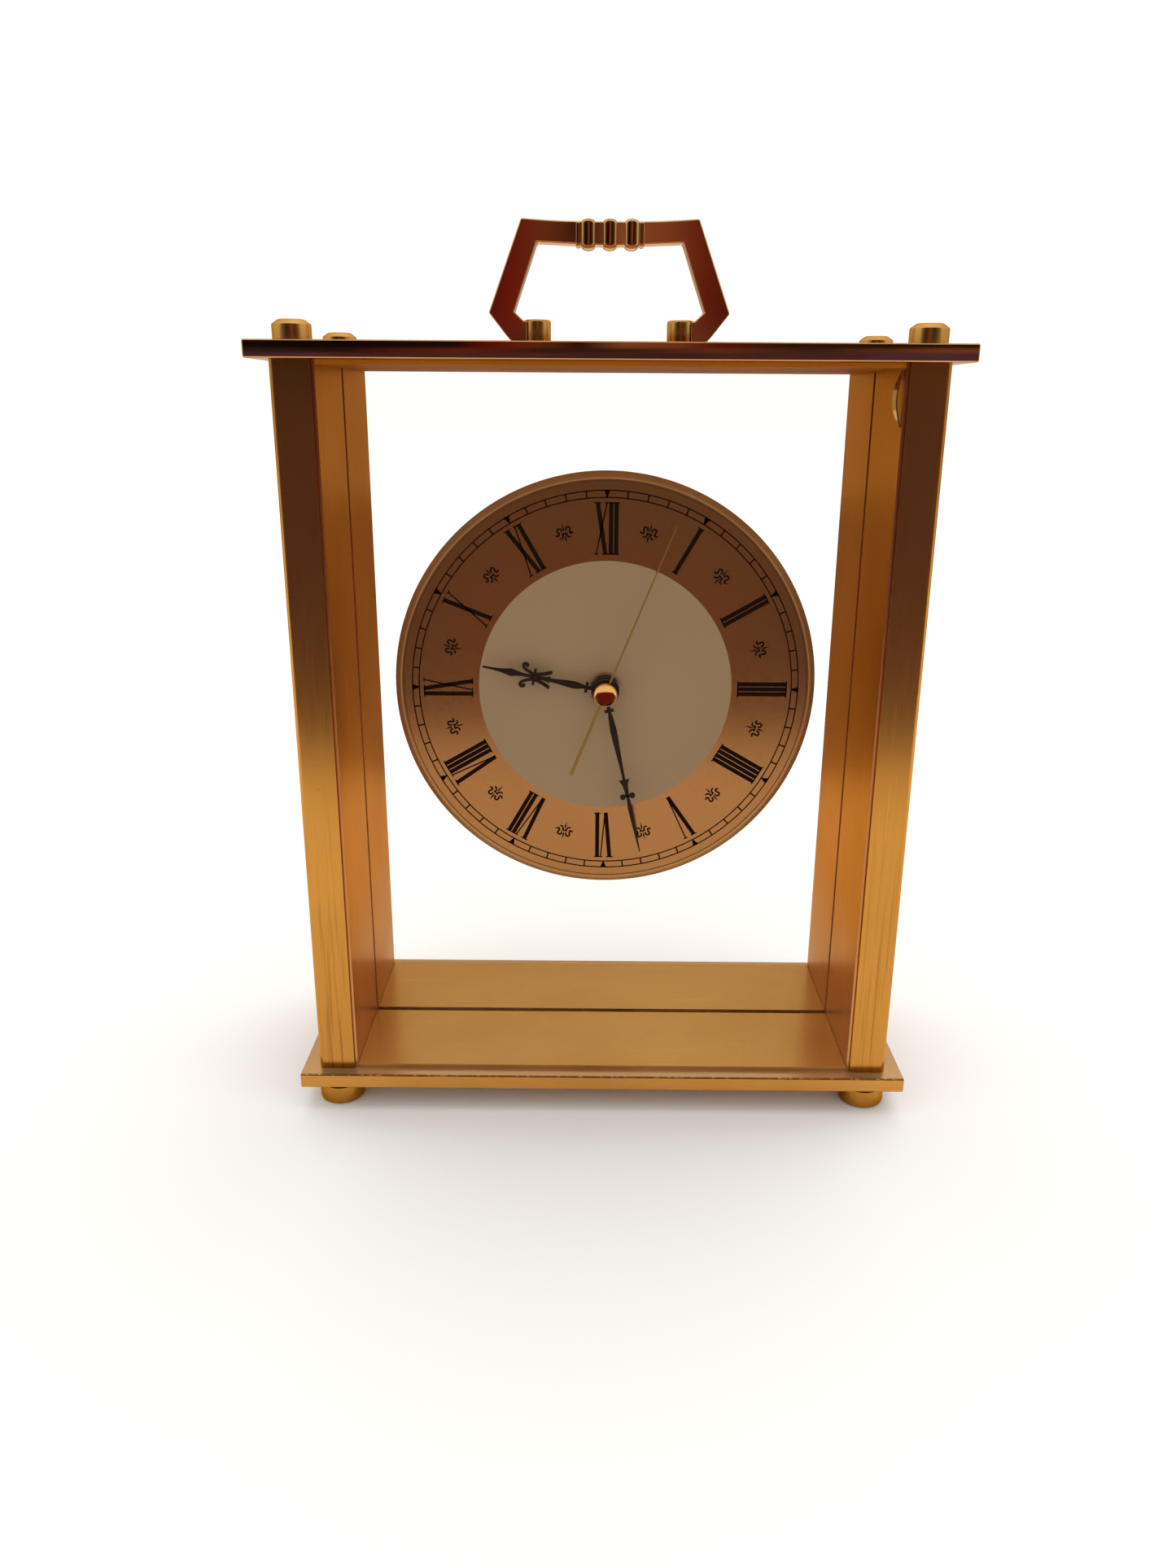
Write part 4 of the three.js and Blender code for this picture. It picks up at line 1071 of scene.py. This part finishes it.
def card_colour(material):
    """Dark browns and reds, in three bands of height with soft clouds."""
    across = along_axis(material, 0, -0.25, 0.25)
    low = ramp(material, across, [
        (0.15, (0.035, 0.030, 0.045)), (0.25, (0.030, 0.016, 0.02)),
        (0.36, (0.16, 0.035, 0.03)), (0.44, (0.035, 0.024, 0.03)),
        (0.53, (0.055, 0.035, 0.035)), (0.61, (0.17, 0.07, 0.06)),
        (0.71, (0.050, 0.033, 0.035)), (0.83, (0.21, 0.10, 0.065)),
    ])
    high = ramp(material, across, [
        (0.36, (0.010, 0.006, 0.006)), (0.40, (0.18, 0.012, 0.012)),
        (0.44, (0.16, 0.05, 0.03)), (0.48, (0.03, 0.01, 0.01)),
        (0.52, (0.30, 0.13, 0.08)), (0.57, (0.26, 0.10, 0.065)),
        (0.61, (0.15, 0.02, 0.015)), (0.68, (0.03, 0.015, 0.012)),
    ])
    cloud = object_noise(material, (1, 1, 0.5), 14.0, 2.0, 1.5)
    post = ramp(material, cloud, [(0.35, (0.078, 0.048, 0.14)), (0.7, (0.135, 0.082, 0.19))])
    dial = ramp(material, cloud, [(0.35, (0.070, 0.035, 0.064)), (0.7, (0.108, 0.052, 0.080))])
    post = mix_colour(material, away_from_middle(material, 0.128, 0.14), dial, post)
    upper = mix_colour(material, along_axis(material, 2, 0.216, 0.228), low, high)
    middle = mix_colour(material, along_axis(material, 2, 0.195, 0.207), post, upper)
    foot = multiply(material, along_axis(material, 2, 0.12, 0.08),
                    away_from_middle(material, 0.10, 0.06))
    middle = mix_colour(material, foot, middle, (0.15, 0.02, 0.018))
    return mix_colour(material, away_from_middle(material, 0.22, 0.6), middle,
                      (0.42, 0.36, 0.24))


def back_card_colour(material):
    """Dim browns in soft clouds."""
    cloud = object_noise(material, EVENLY, 8.0, 2.0, 4.0)
    return ramp(material, cloud, [(0.35, (0.315, 0.245, 0.185)), (0.65, (0.435, 0.345, 0.265))])


def upright_card(name, half_width, y, height, colour):
    """An upright card across the view, seen only in reflections."""
    card = stage_mesh(name, [(-half_width, y, 0), (half_width, y, 0), (half_width, y, height),
                             (-half_width, y, height)], [[0, 1, 2, 3]], emitter(name, colour))
    hide_from_all_but_gloss(card)


def dome_colour(material):
    """Soft and warm at the horizon, bright overhead, with broad clouds of tone."""
    tone = ramp(material, along_axis(material, 2, 0.0, 1.6), [
        (0.0, (0.58, 0.53, 0.46)), (0.25, (0.62, 0.57, 0.50)), (0.6, (0.88, 0.86, 0.82)),
        (1.0, (1.0, 0.99, 0.97)),
    ])
    cloud = object_noise(material, (1, 1, 0.6), 0.9, 2.0, 6.0)
    return mix_colour(material, remap(material, cloud, 0.0, 0.35, 0.35, 0.6), tone,
                      (0.55, 0.52, 0.48))


def make_dome(radius=2.0, rows=12, columns=32):
    points, faces = [(0, 0, radius)], []
    for row in range(1, rows + 1):
        tilt = 0.5 * math.pi * row / rows
        for column in range(columns):
            turn = 2 * math.pi * column / columns
            points.append((radius * math.sin(tilt) * math.cos(turn),
                           radius * math.sin(tilt) * math.sin(turn),
                           radius * math.cos(tilt) - 0.002))
    for column in range(columns):
        after = (column + 1) % columns
        faces.append([0, 1 + column, 1 + after])
        for row in range(rows - 1):
            start = 1 + row * columns
            faces.append([start + column, start + columns + column,
                          start + columns + after, start + after])
    dome = stage_mesh("dome", points, faces, emitter("dome", dome_colour))
    hide_from_all_but_gloss(dome)


def make_sun():
    """A very wide overhead light, so that its shadows stay soft."""
    light = bpy.data.lights.new("top_light", "SUN")
    light.energy = 0.9
    light.angle = math.radians(60)
    light.color = (1, 0.99, 0.97)
    obj = bpy.data.objects.new("top_light", light)
    obj.rotation_euler = (math.radians(-14), math.radians(8), 0)
    bpy.context.scene.collection.objects.link(obj)


def make_world():
    """Even, slightly warm white light from all sides."""
    world = bpy.data.worlds.new("studio")
    world.use_nodes = True
    background = world.node_tree.nodes["Background"]
    background.inputs["Color"].default_value = (1.0, 0.99, 0.97, 1)
    background.inputs["Strength"].default_value = 1.06
    bpy.context.scene.world = world
    bpy.context.scene.view_settings.view_transform = "Standard"


make_floor()
upright_card("card", half_width=0.6, y=-0.36, height=0.62, colour=card_colour)
upright_card("back_card", half_width=1.0, y=0.27, height=0.14, colour=back_card_colour)
make_dome()
make_sun()
make_world()


# ---- camera

LENS = 26.65
SENSOR = 36.0
CAMERA_AT = (-3.56, -311.37, 185.54)
PITCH = math.radians(18.107)   # downwards
YAW = math.radians(-0.168)     # positive to the right
ROLL = math.radians(0.383)


def make_camera():
    camera_data = bpy.data.cameras.new("camera")
    camera_data.lens = LENS
    camera_data.sensor_width = SENSOR
    camera_data.clip_start = 0.01
    camera = bpy.data.objects.new("camera", camera_data)
    forward = Vector((math.sin(YAW) * math.cos(PITCH), math.cos(YAW) * math.cos(PITCH),
                      -math.sin(PITCH)))
    camera.location = [c * MM for c in CAMERA_AT]
    camera.rotation_mode = "QUATERNION"
    camera.rotation_quaternion = (forward.to_track_quat("-Z", "Y")
                                  @ Quaternion((0, 0, 1), ROLL))
    bpy.context.scene.collection.objects.link(camera)
    bpy.context.scene.camera = camera


make_camera()
